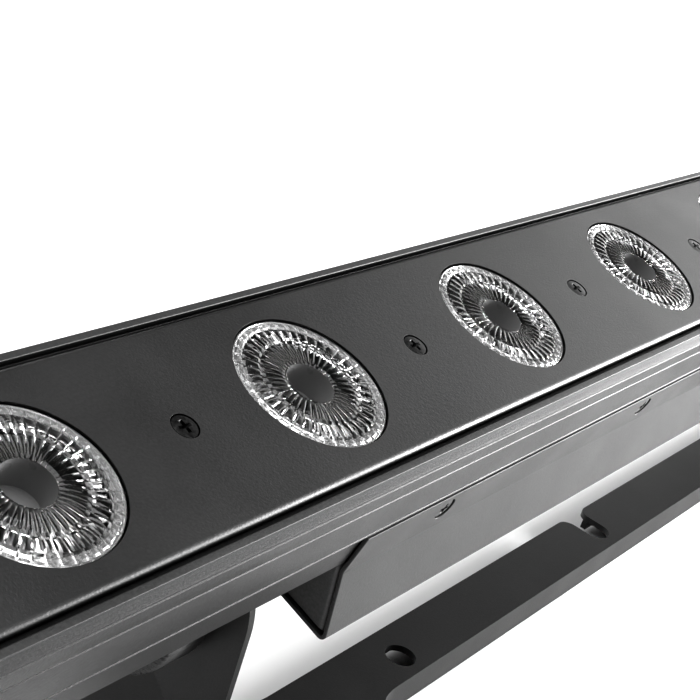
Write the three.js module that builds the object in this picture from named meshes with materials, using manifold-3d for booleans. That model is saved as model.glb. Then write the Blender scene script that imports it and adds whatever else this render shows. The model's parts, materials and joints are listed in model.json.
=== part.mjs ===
// LED strip batten: a twelve-lens linear stage light held in a bent-sheet floor yoke.
// Millimetres, +X along the bar, +Y away from the audience side, +Z up.
import * as THREE from 'three';
import { mergeVertices } from 'three/addons/utils/BufferGeometryUtils.js';
import Module from 'manifold-3d';

const wasm = await Module();
wasm.setup();

// ---- Driving dimensions ----------------------------------------------------------------
const CLEARANCE = 0.3;
const BAR_LENGTH = 1000;
const LENS_COUNT = 12;
const LENS_PITCH = 80;
const LENS_RADIUS = 18.35;
const LENS_HEIGHT = 19.8;
const LENS_TOP_Z = -0.2;
const LENS_RECESS_RADIUS = 5.5;
const LENS_RECESS_Z = -7.6;
const REST_TILT = THREE.MathUtils.degToRad(16.3);

// Housing: an extrusion open at the top, with two skirts below its floor.
const HOUSING_HALF_WIDTH = 27.5;
const HOUSING_HALF_LENGTH = 474;
const SKIRT_HALF_WIDTH = 26.5;
const SKIRT_EDGE_Z = -35.5;
const LIP_TOP_Z = -0.3;
const FLOOR_TOP_Z = -24;
const FLOOR_BOTTOM_Z = -27;
const WALL = 2;
const RIB_GROOVES = [[-0.7, -1.7, 0.6], [-2.6, -3.5, 0.6], [-4.4, -5.3, 0.6], [-6.1, -7, 0.3]];
const RIB_END_Z = -7.3;
const FINE_GROOVES = [-12.15, -24.05];
const FINE_GROOVE_DEPTH = 0.6;
const FINE_GROOVE_HALF_WIDTH = 0.9;
const SLIDE_TOP_Z = -2.1;
const SLIDE_BOTTOM_Z = -3.6;
const SLIDE_HALF_WIDTH = 22.5;

// Front panel, lens holes and countersunk screws.
const PANEL_HALF_WIDTH = 24.3;
const PANEL_THICKNESS = 1.8;
const LENS_HOLE_RADIUS = 18.65;
const SCREW_HEAD_RADIUS = 2.95;
const SCREW_SHANK_RADIUS = 1.35;
const END_SCREW_X = 466.5;

// Moulded carrier under the lenses' flanges.
const LENS_FLANGE_Z = -4.4;
const CARRIER_THICKNESS = 2;
const CARRIER_HALF_WIDTH = 24.8;
const CARRIER_SEAT_RADIUS = 17.1;
const BOSS_RADIUS = 3.2;

// Light source board on the housing's floor.
const BOARD_HALF_LENGTH = 462;
const BOARD_HALF_WIDTH = 22;
const BOARD_THICKNESS = 1.6;
const EMITTER_HALF_WIDTH = 3.5;

// Driver cover: a folded sheet under the middle of the bar, with flared sides.
const COVER_HALF_LENGTH = 189;
const COVER_SHEET = 1;
const COVER_HALF_WIDTH = 27.8;
const COVER_TOP_Z = -25.8;
const COVER_BEND_Z = -37.4;
const COVER_BOTTOM_Z = -55.9;
const COVER_FLARE = THREE.MathUtils.degToRad(20);
const PLATE_X = 188.2;
const PLATE_SHEET = 1.2;
const STRIP_WIDTH = 11;

// Yoke: web, arms, foot lobes and the pivot that carries the bar.
const PIVOT_DROP = 62;
const PIVOT_HEIGHT = 55.25;
const YOKE_SHEET = 2;
const YOKE_HALF_WIDTH = 208;
const WEB_TOP = 9.75;
const WEB_NEAR_Y = -31.3;
const WEB_FAR_Y = -13.3;
const RIM_CLEARANCE = 0.4;
const RIM_END_X = 190;
const FAR_RIM_X = 160;
const ARM_HEAD_RADIUS = 25.6;
const ARM_NECK_WIDTH = 14;
const TAPER_DISTANCE = 14;
const TAPER_ANGLE = THREE.MathUtils.degToRad(46);
const MOUNT_HOLE_RADIUS = 4.5;
const MOUNT_HOLE_X = 120;
const MOUNT_HOLE_Y = -23.8;
const SLOT_RADIUS = 5;
const SLOT_END_Y = -22.9;
const FOOT_RADIUS = 7;
const LOBE_NEAR_Y = -62;
const TOE_FAR_Y = 44;
const TOE_WIDTH = 28;
const FOOT_NEAR = [178, -50];
const FOOT_FAR = [194, 34];

// Knobs, washers, lugs and threaded inserts on the pivot axis.
const STUD_RADIUS = 3;
const STUD_HOLE_RADIUS = 3.4;
const KNOB_RADIUS = 18;
const KNOB_LENGTH = 13.8;
const LUG_SHEET = 2;
const LUG_OUTER_X = 204.4;
const LUG_FLANGE_X = 190.6;
const LUG_RADIUS = 12;
const LUG_HALF_WIDTH = 15;
const WASHER_RADIUS = 11;
const WASHER_OUTER_X = 205.7;
const KNOB_INNER_X = 210.2;
const HUB_RADIUS = 8;
const HUB_INNER_X = 208.7;
const STUD_INNER_X = 195.6;

// Sockets in the end caps.
const END_WALL_X = 498;
const SOCKET_HOLE_RADIUS = 12;
const SOCKET_BARREL_RADIUS = 11.6;
const SOCKET_OFFSET_Y = 13.2;
const SOCKET_Z = -17.8;

// Menu panel on the cover's far side.
const BUTTON_RADIUS = 2.9;
const BUTTON_PITCH = 12;
const DISPLAY_WIDTH = 34;
const DISPLAY_HEIGHT = 10;

// ---- Materials ---------------------------------------------------------------------------
const material = (color, roughness, metalness) => (
  new THREE.MeshStandardMaterial({ color, roughness, metalness }));
const paint = (color, roughness) => material(color, roughness, 0.2);
const metal = (color, roughness) => material(color, roughness, 0.9);
const plastic = (color, roughness) => material(color, roughness, 0);
const clear = plastic(0xe8eef0, 0.05);
clear.transparent = true;
clear.opacity = 0.4;
const materials = {
  housing: paint(0x2b2b2c, 0.55),
  panel: paint(0x1d1d1e, 0.6),
  cover: paint(0x343435, 0.5),
  yoke: paint(0x222223, 0.5),
  screw: metal(0x1a1a1a, 0.35),
  steel: metal(0x8a8a8a, 0.4),
  brass: metal(0xa98b4a, 0.4),
  lens: clear,
  board: plastic(0x1d4a2c, 0.6),
  knob: plastic(0x161616, 0.55),
  rubber: plastic(0x121212, 0.9),
  socket: plastic(0x101010, 0.45),
  display: plastic(0x0b1014, 0.15),
};

// ---- Solid helpers -------------------------------------------------------------------------
function solidOf(geometry) {
  const bare = geometry.index ? geometry.toNonIndexed() : geometry.clone();
  bare.deleteAttribute('normal');
  bare.deleteAttribute('uv');
  const merged = mergeVertices(bare, 1e-4);
  const source = merged.index.array;
  const triangles = [];
  for (let i = 0; i < source.length; i += 3) {
    const [a, b, c] = [source[i], source[i + 1], source[i + 2]];
    if (a !== b && b !== c && c !== a) triangles.push(a, b, c);
  }
  const vertProperties = new Float32Array(merged.attributes.position.array);
  const mesh = new wasm.Mesh({ numProp: 3, vertProperties, triVerts: new Uint32Array(triangles) });
  return new wasm.Manifold(mesh);
}

function geometryOf(solid) {
  const mesh = solid.getMesh();
  const geometry = new THREE.BufferGeometry();
  geometry.setAttribute('position', new THREE.BufferAttribute(new Float32Array(mesh.vertProperties), 3));
  geometry.setIndex(new THREE.BufferAttribute(new Uint32Array(mesh.triVerts), 1));
  return geometry;
}

const joined = (solids) => solids.reduce((sum, solid) => sum.add(solid));
const without = (solid, cutters) => cutters.reduce((rest, cutter) => rest.subtract(cutter), solid);

// The mirror image of a half outline, in the order that closes it.
const mirroredY = (half) => [...half].reverse().map(([y, z]) => [-y, z]);

function shapeOf(points) {
  return new THREE.Shape(points.map(([a, b]) => new THREE.Vector2(a, b)));
}

// A shape in the YZ plane, pulled along X from x0 to x1.
function prismX(shape, x0, x1, curveSegments = 8) {
  const options = { depth: x1 - x0, bevelEnabled: false, curveSegments };
  const geometry = new THREE.ExtrudeGeometry(shape, options);
  const basis = new THREE.Matrix4().makeBasis(
    new THREE.Vector3(0, 1, 0), new THREE.Vector3(0, 0, 1), new THREE.Vector3(1, 0, 0));
  geometry.applyMatrix4(basis);
  geometry.translate(x0, 0, 0);
  return solidOf(geometry);
}

// A shape in the XY plane, pulled along Z from z0 to z1.
function prismZ(shape, z0, z1, curveSegments = 8) {
  const options = { depth: z1 - z0, bevelEnabled: false, curveSegments };
  const geometry = new THREE.ExtrudeGeometry(shape, options);
  geometry.translate(0, 0, z0);
  return solidOf(geometry);
}

function block([x0, y0, z0], [x1, y1, z1]) {
  const geometry = new THREE.BoxGeometry(x1 - x0, y1 - y0, z1 - z0);
  geometry.translate((x0 + x1) / 2, (y0 + y1) / 2, (z0 + z1) / 2);
  return solidOf(geometry);
}

// A turned piece: the profile lists [radius, height] from the lower axis point to the upper one.
function turnedZ(profile, segments) {
  const points = profile.map(([radius, height]) => new THREE.Vector2(radius, height));
  const geometry = new THREE.LatheGeometry(points, segments);
  geometry.rotateX(Math.PI / 2);
  return solidOf(geometry);
}

function rodZ(radius, z0, z1, segments = 16) {
  return turnedZ([[0, z0], [radius, z0], [radius, z1], [0, z1]], segments);
}

function turnedX(profile, segments) {
  return turnedZ(profile, segments).rotate([0, 90, 0]);
}

function rodX(radius, x0, x1, segments = 16) {
  return turnedX([[0, x0], [radius, x0], [radius, x1], [0, x1]], segments);
}

function ringX(outerRadius, innerRadius, x0, x1, segments = 20) {
  const bore = rodX(innerRadius, x0 - 1, x1 + 1, segments);
  return rodX(outerRadius, x0, x1, segments).subtract(bore);
}

const at = (solid, x, y, z) => solid.translate([x, y, z]);
const mirroredX = (solid) => solid.mirror([1, 0, 0]);

function addPart(group, name, solid, material) {
  const mesh = new THREE.Mesh(geometryOf(solid), material);
  mesh.name = name;
  group.add(mesh);
  return mesh;
}

// ---- Housing extrusion ------------------------------------------------------------------------
// One groove of the ribbed band: the crest above it, and its bottom.
function ribGroove([crest, bottom, depth]) {
  return [[HOUSING_HALF_WIDTH, crest], [HOUSING_HALF_WIDTH - depth, bottom]];
}

function fineGroove(z) {
  return [
    [HOUSING_HALF_WIDTH, z + FINE_GROOVE_HALF_WIDTH],
    [HOUSING_HALF_WIDTH - FINE_GROOVE_DEPTH, z],
    [HOUSING_HALF_WIDTH, z - FINE_GROOVE_HALF_WIDTH],
  ];
}

function housingProfile() {
  const innerWall = HOUSING_HALF_WIDTH - WALL;
  const half = [
    [0, FLOOR_TOP_Z],
    [innerWall, FLOOR_TOP_Z],
    [innerWall, SLIDE_BOTTOM_Z],
    [SLIDE_HALF_WIDTH, SLIDE_BOTTOM_Z],
    [SLIDE_HALF_WIDTH, SLIDE_TOP_Z],
    [25.7, SLIDE_TOP_Z],
    [25.7, LIP_TOP_Z],
    [HOUSING_HALF_WIDTH, LIP_TOP_Z],
    ...RIB_GROOVES.flatMap(ribGroove),
    [HOUSING_HALF_WIDTH, RIB_END_Z],
    ...FINE_GROOVES.flatMap(fineGroove),
    [HOUSING_HALF_WIDTH, -25.1],
    [SKIRT_HALF_WIDTH, -25.3],
    [SKIRT_HALF_WIDTH, SKIRT_EDGE_Z],
    [SKIRT_HALF_WIDTH - WALL, SKIRT_EDGE_Z],
    [SKIRT_HALF_WIDTH - WALL, FLOOR_BOTTOM_Z],
    [0, FLOOR_BOTTOM_Z],
  ];
  return shapeOf([...half, ...mirroredY(half.slice(1, -1))]);
}

const lensPositions = [];
for (let i = 0; i < LENS_COUNT; i += 1) {
  lensPositions.push((i - (LENS_COUNT - 1) / 2) * LENS_PITCH);
}
const screwPositions = [-END_SCREW_X];
for (let i = 1; i < LENS_COUNT; i += 1) {
  screwPositions.push((i - LENS_COUNT / 2) * LENS_PITCH);
}
screwPositions.push(END_SCREW_X);

function makeHousing() {
  return prismX(housingProfile(), -HOUSING_HALF_LENGTH, HOUSING_HALF_LENGTH);
}

// The moulded tray that the lenses' flanges rest on, with a hollow boss for each panel screw.
function makeLensCarrier() {
  const top = LENS_FLANGE_Z - CLEARANCE;
  const x = HOUSING_HALF_LENGTH - 1;
  const y = CARRIER_HALF_WIDTH;
  const tray = block([-x, -y, top - CARRIER_THICKNESS], [x, y, top]);
  const seat = rodZ(CARRIER_SEAT_RADIUS, top - CARRIER_THICKNESS - 1, top + 1, 16);
  const seats = lensPositions.map((lensX) => at(seat, lensX, 0, 0));
  const boss = rodZ(BOSS_RADIUS, FLOOR_TOP_Z + CLEARANCE, -PANEL_THICKNESS - CLEARANCE, 8);
  const bosses = screwPositions.map((screwX) => at(boss, screwX, 0, 0));
  const bore = rodZ(SCREW_SHANK_RADIUS + CLEARANCE, -10, -1, 6);
  const bores = screwPositions.map((screwX) => at(bore, screwX, 0, 0));
  return without(joined([without(tray, seats), ...bosses]), bores);
}

function makeFrontPanel() {
  const x = HOUSING_HALF_LENGTH - CLEARANCE;
  const plate = block([-x, -PANEL_HALF_WIDTH, -PANEL_THICKNESS], [x, PANEL_HALF_WIDTH, 0]);
  const hole = rodZ(LENS_HOLE_RADIUS, -PANEL_THICKNESS - 1, 1, 24);
  const headRadius = SCREW_HEAD_RADIUS + CLEARANCE;
  const shankRadius = SCREW_SHANK_RADIUS + CLEARANCE + 0.1;
  const countersink = turnedZ([[0, -3], [shankRadius, -3], [shankRadius, -1.75], [headRadius, -0.1],
    [headRadius, 1], [0, 1]], 8);
  const lensHoles = lensPositions.map((lensX) => at(hole, lensX, 0, 0));
  const screwHoles = screwPositions.map((screwX) => at(countersink, screwX, 0, 0));
  return without(plate, [...lensHoles, ...screwHoles]);
}

// A solid cone of clear plastic with a flange round its top and a blind recess in its middle.
function makeLens() {
  const low = LENS_TOP_Z - LENS_HEIGHT;
  return turnedZ([
    [0, low],
    [6.5, low],
    [8.4, low + 3],
    [14, -11.2],
    [16.2, -5],
    [16.2, LENS_FLANGE_Z],
    [LENS_RADIUS, LENS_FLANGE_Z],
    [LENS_RADIUS, -1.2],
    [LENS_RADIUS - 0.6, LENS_TOP_Z],
    [LENS_RECESS_RADIUS + 0.6, -2.3],
    [LENS_RECESS_RADIUS, LENS_RECESS_Z],
    [0, LENS_RECESS_Z],
  ], 16);
}

function makePanelScrew() {
  return turnedZ([[0, -8], [SCREW_SHANK_RADIUS, -8], [SCREW_SHANK_RADIUS, -1.85], [SCREW_HEAD_RADIUS, -0.3],
    [SCREW_HEAD_RADIUS - 0.2, -0.1], [1.3, -0.1], [0.7, -1.2], [0, -1.2]], 8);
}

function makeLedBoard() {
  const bottom = FLOOR_TOP_Z + CLEARANCE;
  const top = bottom + BOARD_THICKNESS;
  const board = block([-BOARD_HALF_LENGTH, -BOARD_HALF_WIDTH, bottom],
    [BOARD_HALF_LENGTH, BOARD_HALF_WIDTH, top]);
  const emitter = block([-EMITTER_HALF_WIDTH, -EMITTER_HALF_WIDTH, top - 0.1],
    [EMITTER_HALF_WIDTH, EMITTER_HALF_WIDTH, top + 1.4]);
  const emitters = lensPositions.map((x) => at(emitter, x, 0, 0));
  const bossHole = rodZ(BOSS_RADIUS + 0.5, bottom - 1, top + 1, 8);
  const bossHoles = screwPositions.slice(1, -1).map((x) => at(bossHole, x, 0, 0));
  return without(joined([board, ...emitters]), bossHoles);
}

// ---- End caps and their sockets -------------------------------------------------------------------
function roundedRect(halfWidth, low, high, radius) {
  const shape = new THREE.Shape();
  shape.moveTo(-halfWidth + radius, low);
  shape.lineTo(halfWidth - radius, low);
  shape.absarc(halfWidth - radius, low + radius, radius, -Math.PI / 2, 0, false);
  shape.lineTo(halfWidth, high - radius);
  shape.absarc(halfWidth - radius, high - radius, radius, 0, Math.PI / 2, false);
  shape.lineTo(-halfWidth + radius, high);
  shape.absarc(-halfWidth + radius, high - radius, radius, Math.PI / 2, Math.PI, false);
  shape.lineTo(-halfWidth, low + radius);
  shape.absarc(-halfWidth + radius, low + radius, radius, Math.PI, Math.PI * 1.5, false);
  return shape;
}

function makeEndCap() {
  const inner = HOUSING_HALF_LENGTH + CLEARANCE;
  const outer = prismX(roundedRect(HOUSING_HALF_WIDTH, SKIRT_EDGE_Z, 0, 1.5), inner, END_WALL_X, 3);
  const cavity = block([inner - 1, -25, SKIRT_EDGE_Z + 2.5], [END_WALL_X - 2.5, 25, -2.5]);
  const socketHole = rodX(SOCKET_HOLE_RADIUS, END_WALL_X - 5, END_WALL_X + 2, 20);
  const holes = [-1, 1].map((side) => at(socketHole, 0, side * SOCKET_OFFSET_Y, SOCKET_Z));
  return without(outer, [cavity, ...holes]);
}

function socketBody(cupRadius, cupDepth) {
  const face = BAR_LENGTH / 2;
  const flangeShape = roundedRect(12.8, -15, 15, 2);
  const flange = prismX(flangeShape, END_WALL_X + CLEARANCE, face, 3);
  const barrel = rodX(SOCKET_BARREL_RADIUS, END_WALL_X - 18, END_WALL_X + 1, 20);
  const cup = rodX(cupRadius, face - cupDepth, face + 1, 20);
  return flange.add(barrel).subtract(cup);
}

function contactsAt(radius, contactRadius, x0, x1) {
  return [0, 1, 2].map((i) => {
    const angle = Math.PI / 2 + (i * 2 * Math.PI) / 3;
    return at(rodX(contactRadius, x0, x1, 6), 0, radius * Math.cos(angle), radius * Math.sin(angle));
  });
}

function makeDmxInput() {
  const face = BAR_LENGTH / 2;
  return joined([socketBody(8.2, 12), ...contactsAt(4, 0.9, face - 13, face - 5.5)]);
}

function makeDmxOutput() {
  const face = BAR_LENGTH / 2;
  return without(socketBody(8.2, 1), contactsAt(4, 1.2, face - 9, face + 1));
}

function makePowerSocket() {
  const face = BAR_LENGTH / 2;
  return joined([socketBody(9.2, 11), ...contactsAt(5, 1.4, face - 12, face - 5)]);
}

// ---- Driver cover, its end plates and what it holds -----------------------------------------------
const flareSlope = Math.tan(COVER_FLARE);
const coverY = (z) => COVER_HALF_WIDTH + (COVER_BEND_Z - z) * flareSlope;
const innerCoverY = (z) => coverY(z) - COVER_SHEET / Math.cos(COVER_FLARE);

function coverProfile() {
  const innerBend = COVER_BEND_Z - COVER_SHEET * Math.tan(COVER_FLARE / 2);
  const innerBottom = COVER_BOTTOM_Z + COVER_SHEET;
  const half = [
    [coverY(COVER_BOTTOM_Z), COVER_BOTTOM_Z],
    [COVER_HALF_WIDTH, COVER_BEND_Z],
    [COVER_HALF_WIDTH, COVER_TOP_Z],
    [COVER_HALF_WIDTH - COVER_SHEET, COVER_TOP_Z],
    [COVER_HALF_WIDTH - COVER_SHEET, innerBend],
    [innerCoverY(innerBottom), innerBottom],
  ];
  return shapeOf([...half, ...mirroredY(half)]);
}

// The menu panel's frame: its origin is on the cover's far outer face, u runs along -X,
// v up the slope and w out of the face.
const menuCentreZ = (COVER_BEND_Z + COVER_BOTTOM_Z) / 2;
const menuFrame = new THREE.Matrix4().makeBasis(
  new THREE.Vector3(-1, 0, 0),
  new THREE.Vector3(0, -Math.sin(COVER_FLARE), Math.cos(COVER_FLARE)),
  new THREE.Vector3(0, Math.cos(COVER_FLARE), Math.sin(COVER_FLARE)));
menuFrame.setPosition(0, coverY(menuCentreZ), menuCentreZ);
const onMenu = (solid) => solid.transform(menuFrame.toArray());
const buttonOffsets = [0, 1, 2, 3].map((i) => DISPLAY_WIDTH / 2 + 10 + i * BUTTON_PITCH);
const displayShift = 28;

function makeCover() {
  const sheet = prismX(coverProfile(), -COVER_HALF_LENGTH, COVER_HALF_LENGTH);
  const halfWidth = DISPLAY_WIDTH / 2 + CLEARANCE;
  const halfHeight = DISPLAY_HEIGHT / 2 + CLEARANCE;
  const window = block([-halfWidth - displayShift, -halfHeight, -3],
    [halfWidth - displayShift, halfHeight, 3]);
  const buttonHole = rodZ(BUTTON_RADIUS + 0.4, -3, 3, 14);
  const buttonHoles = buttonOffsets.map((u) => at(buttonHole, u - displayShift, 0, 0));
  return without(sheet, [window, ...buttonHoles].map(onMenu));
}

function makeDisplayModule() {
  const board = block([-50, -5.5, -5.2], [50, 5.5, -4]);
  const screen = block([-DISPLAY_WIDTH / 2 - displayShift, -DISPLAY_HEIGHT / 2, -4.5],
    [DISPLAY_WIDTH / 2 - displayShift, DISPLAY_HEIGHT / 2, -0.3]);
  const switches = buttonOffsets.map((u) => {
    const centre = u - displayShift;
    return block([centre - 3, -3, -4.2], [centre + 3, 3, -3.5]);
  });
  return onMenu(joined([board, screen, ...switches]));
}

function makeMenuButton(offset) {
  const stem = turnedZ([[0, -2.7], [3.9, -2.7], [3.9, -1.6], [BUTTON_RADIUS, -1.6], [BUTTON_RADIUS, 0.9],
    [BUTTON_RADIUS - 0.4, 1.2], [0, 1.2]], 14);
  return onMenu(at(stem, offset - displayShift, 0, 0));
}

// A flat plate across the cover's end, with a strip folded in along each side.
function makeEndPlate() {
  const neck = SKIRT_HALF_WIDTH - WALL - 0.4;
  const shoulder = COVER_HALF_WIDTH - COVER_SHEET - 0.4;
  const top = SKIRT_EDGE_Z - 0.4;
  const bend = COVER_BEND_Z - 0.2;
  const low = COVER_BOTTOM_Z + COVER_SHEET + 0.4;
  const foot = innerCoverY(low) - 0.5;
  const half = [[neck, FLOOR_BOTTOM_Z - 0.6], [neck, top], [shoulder, top], [shoulder, bend], [foot, low]];
  const plate = prismX(shapeOf([...mirroredY(half), ...half].reverse()), PLATE_X - PLATE_SHEET, PLATE_X);
  const strip = [[shoulder, top], [shoulder, bend], [foot, low], [foot - PLATE_SHEET, low],
    [shoulder - PLATE_SHEET, bend], [shoulder - PLATE_SHEET, top]];
  const flange = prismX(shapeOf([...strip].reverse()), PLATE_X - STRIP_WIDTH, PLATE_X - 0.5);
  return joined([plate, flange, flange.mirror([0, 1, 0])]);
}

function makePsuModule() {
  const can = block([-172, -20, -54.4], [8, 20, -32]);
  const terminals = block([7, -16, -54.4], [17, 16, -44]);
  return can.add(terminals);
}

function makeDriverBoard() {
  const board = block([26, -20, -52.5], [176, 20, -50.9]);
  const inductors = [50, 80, 110, 140].map((x) => at(rodZ(7, -51.2, -40, 12), x, 8, 0));
  const heatSink = block([44, -16, -51.2], [150, -6, -38]);
  return joined([board, heatSink, ...inductors]);
}

// ---- Pivot hardware ------------------------------------------------------------------------------
function makeLug() {
  const top = PIVOT_DROP + FLOOR_BOTTOM_Z - CLEARANCE;
  const shape = new THREE.Shape();
  shape.moveTo(-LUG_HALF_WIDTH, top);
  shape.lineTo(-LUG_RADIUS, 0);
  shape.absarc(0, 0, LUG_RADIUS, Math.PI, 2 * Math.PI, false);
  shape.lineTo(LUG_HALF_WIDTH, top);
  const plate = prismX(shape, LUG_OUTER_X - LUG_SHEET, LUG_OUTER_X, 8);
  const flange = block([LUG_FLANGE_X, -LUG_HALF_WIDTH, top - LUG_SHEET],
    [LUG_OUTER_X, LUG_HALF_WIDTH, top]);
  const hole = rodX(STUD_HOLE_RADIUS, LUG_OUTER_X - 6, LUG_OUTER_X + 2, 16);
  return at(plate.add(flange).subtract(hole), 0, 0, -PIVOT_DROP);
}

function makeInsert() {
  const inner = LUG_OUTER_X - LUG_SHEET - CLEARANCE;
  return at(ringX(6.5, STUD_HOLE_RADIUS, inner - 7, inner, 18), 0, 0, -PIVOT_DROP);
}

function makeKnob() {
  const x0 = KNOB_INNER_X;
  const x1 = x0 + KNOB_LENGTH;
  const grip = turnedX([[0, x0], [KNOB_RADIUS - 0.8, x0], [KNOB_RADIUS, x0 + 0.8], [KNOB_RADIUS, x1 - 1.5],
    [KNOB_RADIUS - 1.5, x1], [0, x1]], 28);
  const hub = rodX(HUB_RADIUS, HUB_INNER_X, x0 + 1, 16);
  const stud = rodX(STUD_RADIUS, STUD_INNER_X, HUB_INNER_X + 0.3, 12);
  return joined([grip, hub, stud]);
}

function makeFrictionWasher() {
  return ringX(WASHER_RADIUS, STUD_HOLE_RADIUS, LUG_OUTER_X + CLEARANCE, WASHER_OUTER_X, 20);
}

// ---- Yoke --------------------------------------------------------------------------------------------
function armShape() {
  const near = -ARM_HEAD_RADIUS;
  const neckFar = near + ARM_NECK_WIDTH;
  const across = new THREE.Vector2(Math.cos(TAPER_ANGLE), -Math.sin(TAPER_ANGLE));
  const foot = across.multiplyScalar(TAPER_DISTANCE);
  const along = new THREE.Vector2(Math.sin(TAPER_ANGLE), Math.cos(TAPER_ANGLE));
  const reach = Math.sqrt(ARM_HEAD_RADIUS ** 2 - TAPER_DISTANCE ** 2);
  const shoulder = foot.clone().addScaledVector(along, reach);
  const neckTop = foot.clone().addScaledVector(along, (neckFar - foot.x) / along.x);
  const bottom = WEB_TOP - YOKE_SHEET - PIVOT_HEIGHT;
  const shape = new THREE.Shape();
  shape.moveTo(near, bottom);
  shape.lineTo(neckFar, bottom);
  shape.lineTo(neckFar, neckTop.y);
  shape.lineTo(shoulder.x, shoulder.y);
  shape.absarc(0, 0, ARM_HEAD_RADIUS, Math.atan2(shoulder.y, shoulder.x), Math.PI, false);
  return shape;
}

// The web's near edge from its middle out into the foot lobe, as points.
function nearEdge() {
  const path = new THREE.Path();
  path.moveTo(0, WEB_NEAR_Y);
  path.lineTo(132, WEB_NEAR_Y);
  path.bezierCurveTo(144, WEB_NEAR_Y, 146, -38, 150, -50);
  path.quadraticCurveTo(154, LOBE_NEAR_Y, 162, LOBE_NEAR_Y);
  path.lineTo(RIM_END_X, LOBE_NEAR_Y);
  return path.getPoints(6);
}

// The right half of the web, seen from above, with its toe at the back and its foot lobe in front.
function halfWebShape() {
  const edge = YOKE_HALF_WIDTH;
  const toe = edge - TOE_WIDTH;
  const shape = new THREE.Shape(nearEdge());
  shape.lineTo(edge - 12, LOBE_NEAR_Y);
  shape.absarc(edge - 12, LOBE_NEAR_Y + 12, 12, -Math.PI / 2, 0, false);
  shape.lineTo(edge, TOE_FAR_Y - 8);
  shape.absarc(edge - 8, TOE_FAR_Y - 8, 8, 0, Math.PI / 2, false);
  shape.absarc(toe + 8, TOE_FAR_Y - 8, 8, Math.PI / 2, Math.PI, false);
  shape.lineTo(toe, 0);
  shape.quadraticCurveTo(toe, WEB_FAR_Y, toe - 13, WEB_FAR_Y);
  shape.lineTo(SLOT_RADIUS + 4, WEB_FAR_Y);
  shape.quadraticCurveTo(SLOT_RADIUS, WEB_FAR_Y, SLOT_RADIUS, WEB_FAR_Y - 4);
  shape.lineTo(SLOT_RADIUS, SLOT_END_Y);
  shape.absarc(0, SLOT_END_Y, SLOT_RADIUS, 0, -Math.PI / 2, true);
  shape.lineTo(0, SLOT_END_Y - SLOT_RADIUS);
  return shape;
}

// The rim turned down along the near edge: the edge's points and the same ones moved a sheet inwards.
function nearRimShape() {
  const outer = nearEdge();
  const inner = outer.map((point, i) => {
    const before = outer[Math.max(i - 1, 0)];
    const after = outer[Math.min(i + 1, outer.length - 1)];
    const along = after.clone().sub(before).normalize();
    return new THREE.Vector2(point.x - along.y * YOKE_SHEET, point.y + along.x * YOKE_SHEET);
  });
  return new THREE.Shape([...outer, ...inner.reverse()]);
}

function makeYoke() {
  const under = WEB_TOP - YOKE_SHEET;
  const blankHole = rodZ(MOUNT_HOLE_RADIUS, under - 1, WEB_TOP + 1, 20);
  const hole = at(blankHole, MOUNT_HOLE_X, MOUNT_HOLE_Y, 0);
  const halfWeb = prismZ(halfWebShape(), under, WEB_TOP, 5).subtract(hole);
  const nearRim = prismZ(nearRimShape(), RIM_CLEARANCE, WEB_TOP);
  const farRimStart = [SLOT_RADIUS + 8, WEB_FAR_Y - YOKE_SHEET, RIM_CLEARANCE];
  const farRim = block(farRimStart, [FAR_RIM_X, WEB_FAR_Y, WEB_TOP - 1]);
  const blankArm = prismX(armShape(), YOKE_HALF_WIDTH - YOKE_SHEET, YOKE_HALF_WIDTH, 12);
  const pivotHole = rodX(STUD_HOLE_RADIUS, YOKE_HALF_WIDTH - 5, YOKE_HALF_WIDTH + 3, 16);
  const arm = at(blankArm.subtract(pivotHole), 0, 0, PIVOT_HEIGHT);
  const half = joined([halfWeb, nearRim, farRim, arm]);
  return half.add(mirroredX(half));
}

function makeFoot() {
  const top = WEB_TOP - YOKE_SHEET - CLEARANCE;
  return turnedZ([[0, 0], [FOOT_RADIUS - 1, 0], [FOOT_RADIUS, 1], [FOOT_RADIUS - 1, top], [0, top]], 16);
}

// ---- Assembly ------------------------------------------------------------------------------------------
const batten = new THREE.Group();
const yokeGroup = new THREE.Group();
const tiltGroup = new THREE.Group();
const barGroup = new THREE.Group();
batten.add(yokeGroup, tiltGroup);
tiltGroup.position.set(0, 0, PIVOT_HEIGHT);
tiltGroup.rotation.x = REST_TILT;
tiltGroup.add(barGroup);
barGroup.position.set(0, 0, PIVOT_DROP);

const number = (i) => String(i + 1).padStart(2, '0');
const pair = (solid) => ({ left: mirroredX(solid), right: solid });

addPart(barGroup, 'housing', makeHousing(), materials.housing);
addPart(barGroup, 'front_panel', makeFrontPanel(), materials.panel);
addPart(barGroup, 'lens_carrier', makeLensCarrier(), materials.socket);
addPart(barGroup, 'led_board', makeLedBoard(), materials.board);
const lens = makeLens();
lensPositions.forEach((x, i) => {
  const mesh = addPart(barGroup, `lens_${number(i)}`, lens, materials.lens);
  mesh.position.x = x;
});
const panelScrew = makePanelScrew();
screwPositions.forEach((x, i) => {
  const mesh = addPart(barGroup, `panel_screw_${number(i)}`, panelScrew, materials.screw);
  mesh.position.x = x;
});

const endCap = pair(makeEndCap());
addPart(barGroup, 'end_cap_left', endCap.left, materials.socket);
addPart(barGroup, 'end_cap_right', endCap.right, materials.socket);
const place = (solid, y) => at(solid, 0, y, SOCKET_Z);
const powerSocket = makePowerSocket();
addPart(barGroup, 'power_inlet', mirroredX(place(powerSocket, SOCKET_OFFSET_Y)), materials.socket);
addPart(barGroup, 'power_outlet', place(powerSocket, SOCKET_OFFSET_Y), materials.socket);
addPart(barGroup, 'dmx_input', mirroredX(place(makeDmxInput(), -SOCKET_OFFSET_Y)), materials.socket);
addPart(barGroup, 'dmx_output', place(makeDmxOutput(), -SOCKET_OFFSET_Y), materials.socket);

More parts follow.
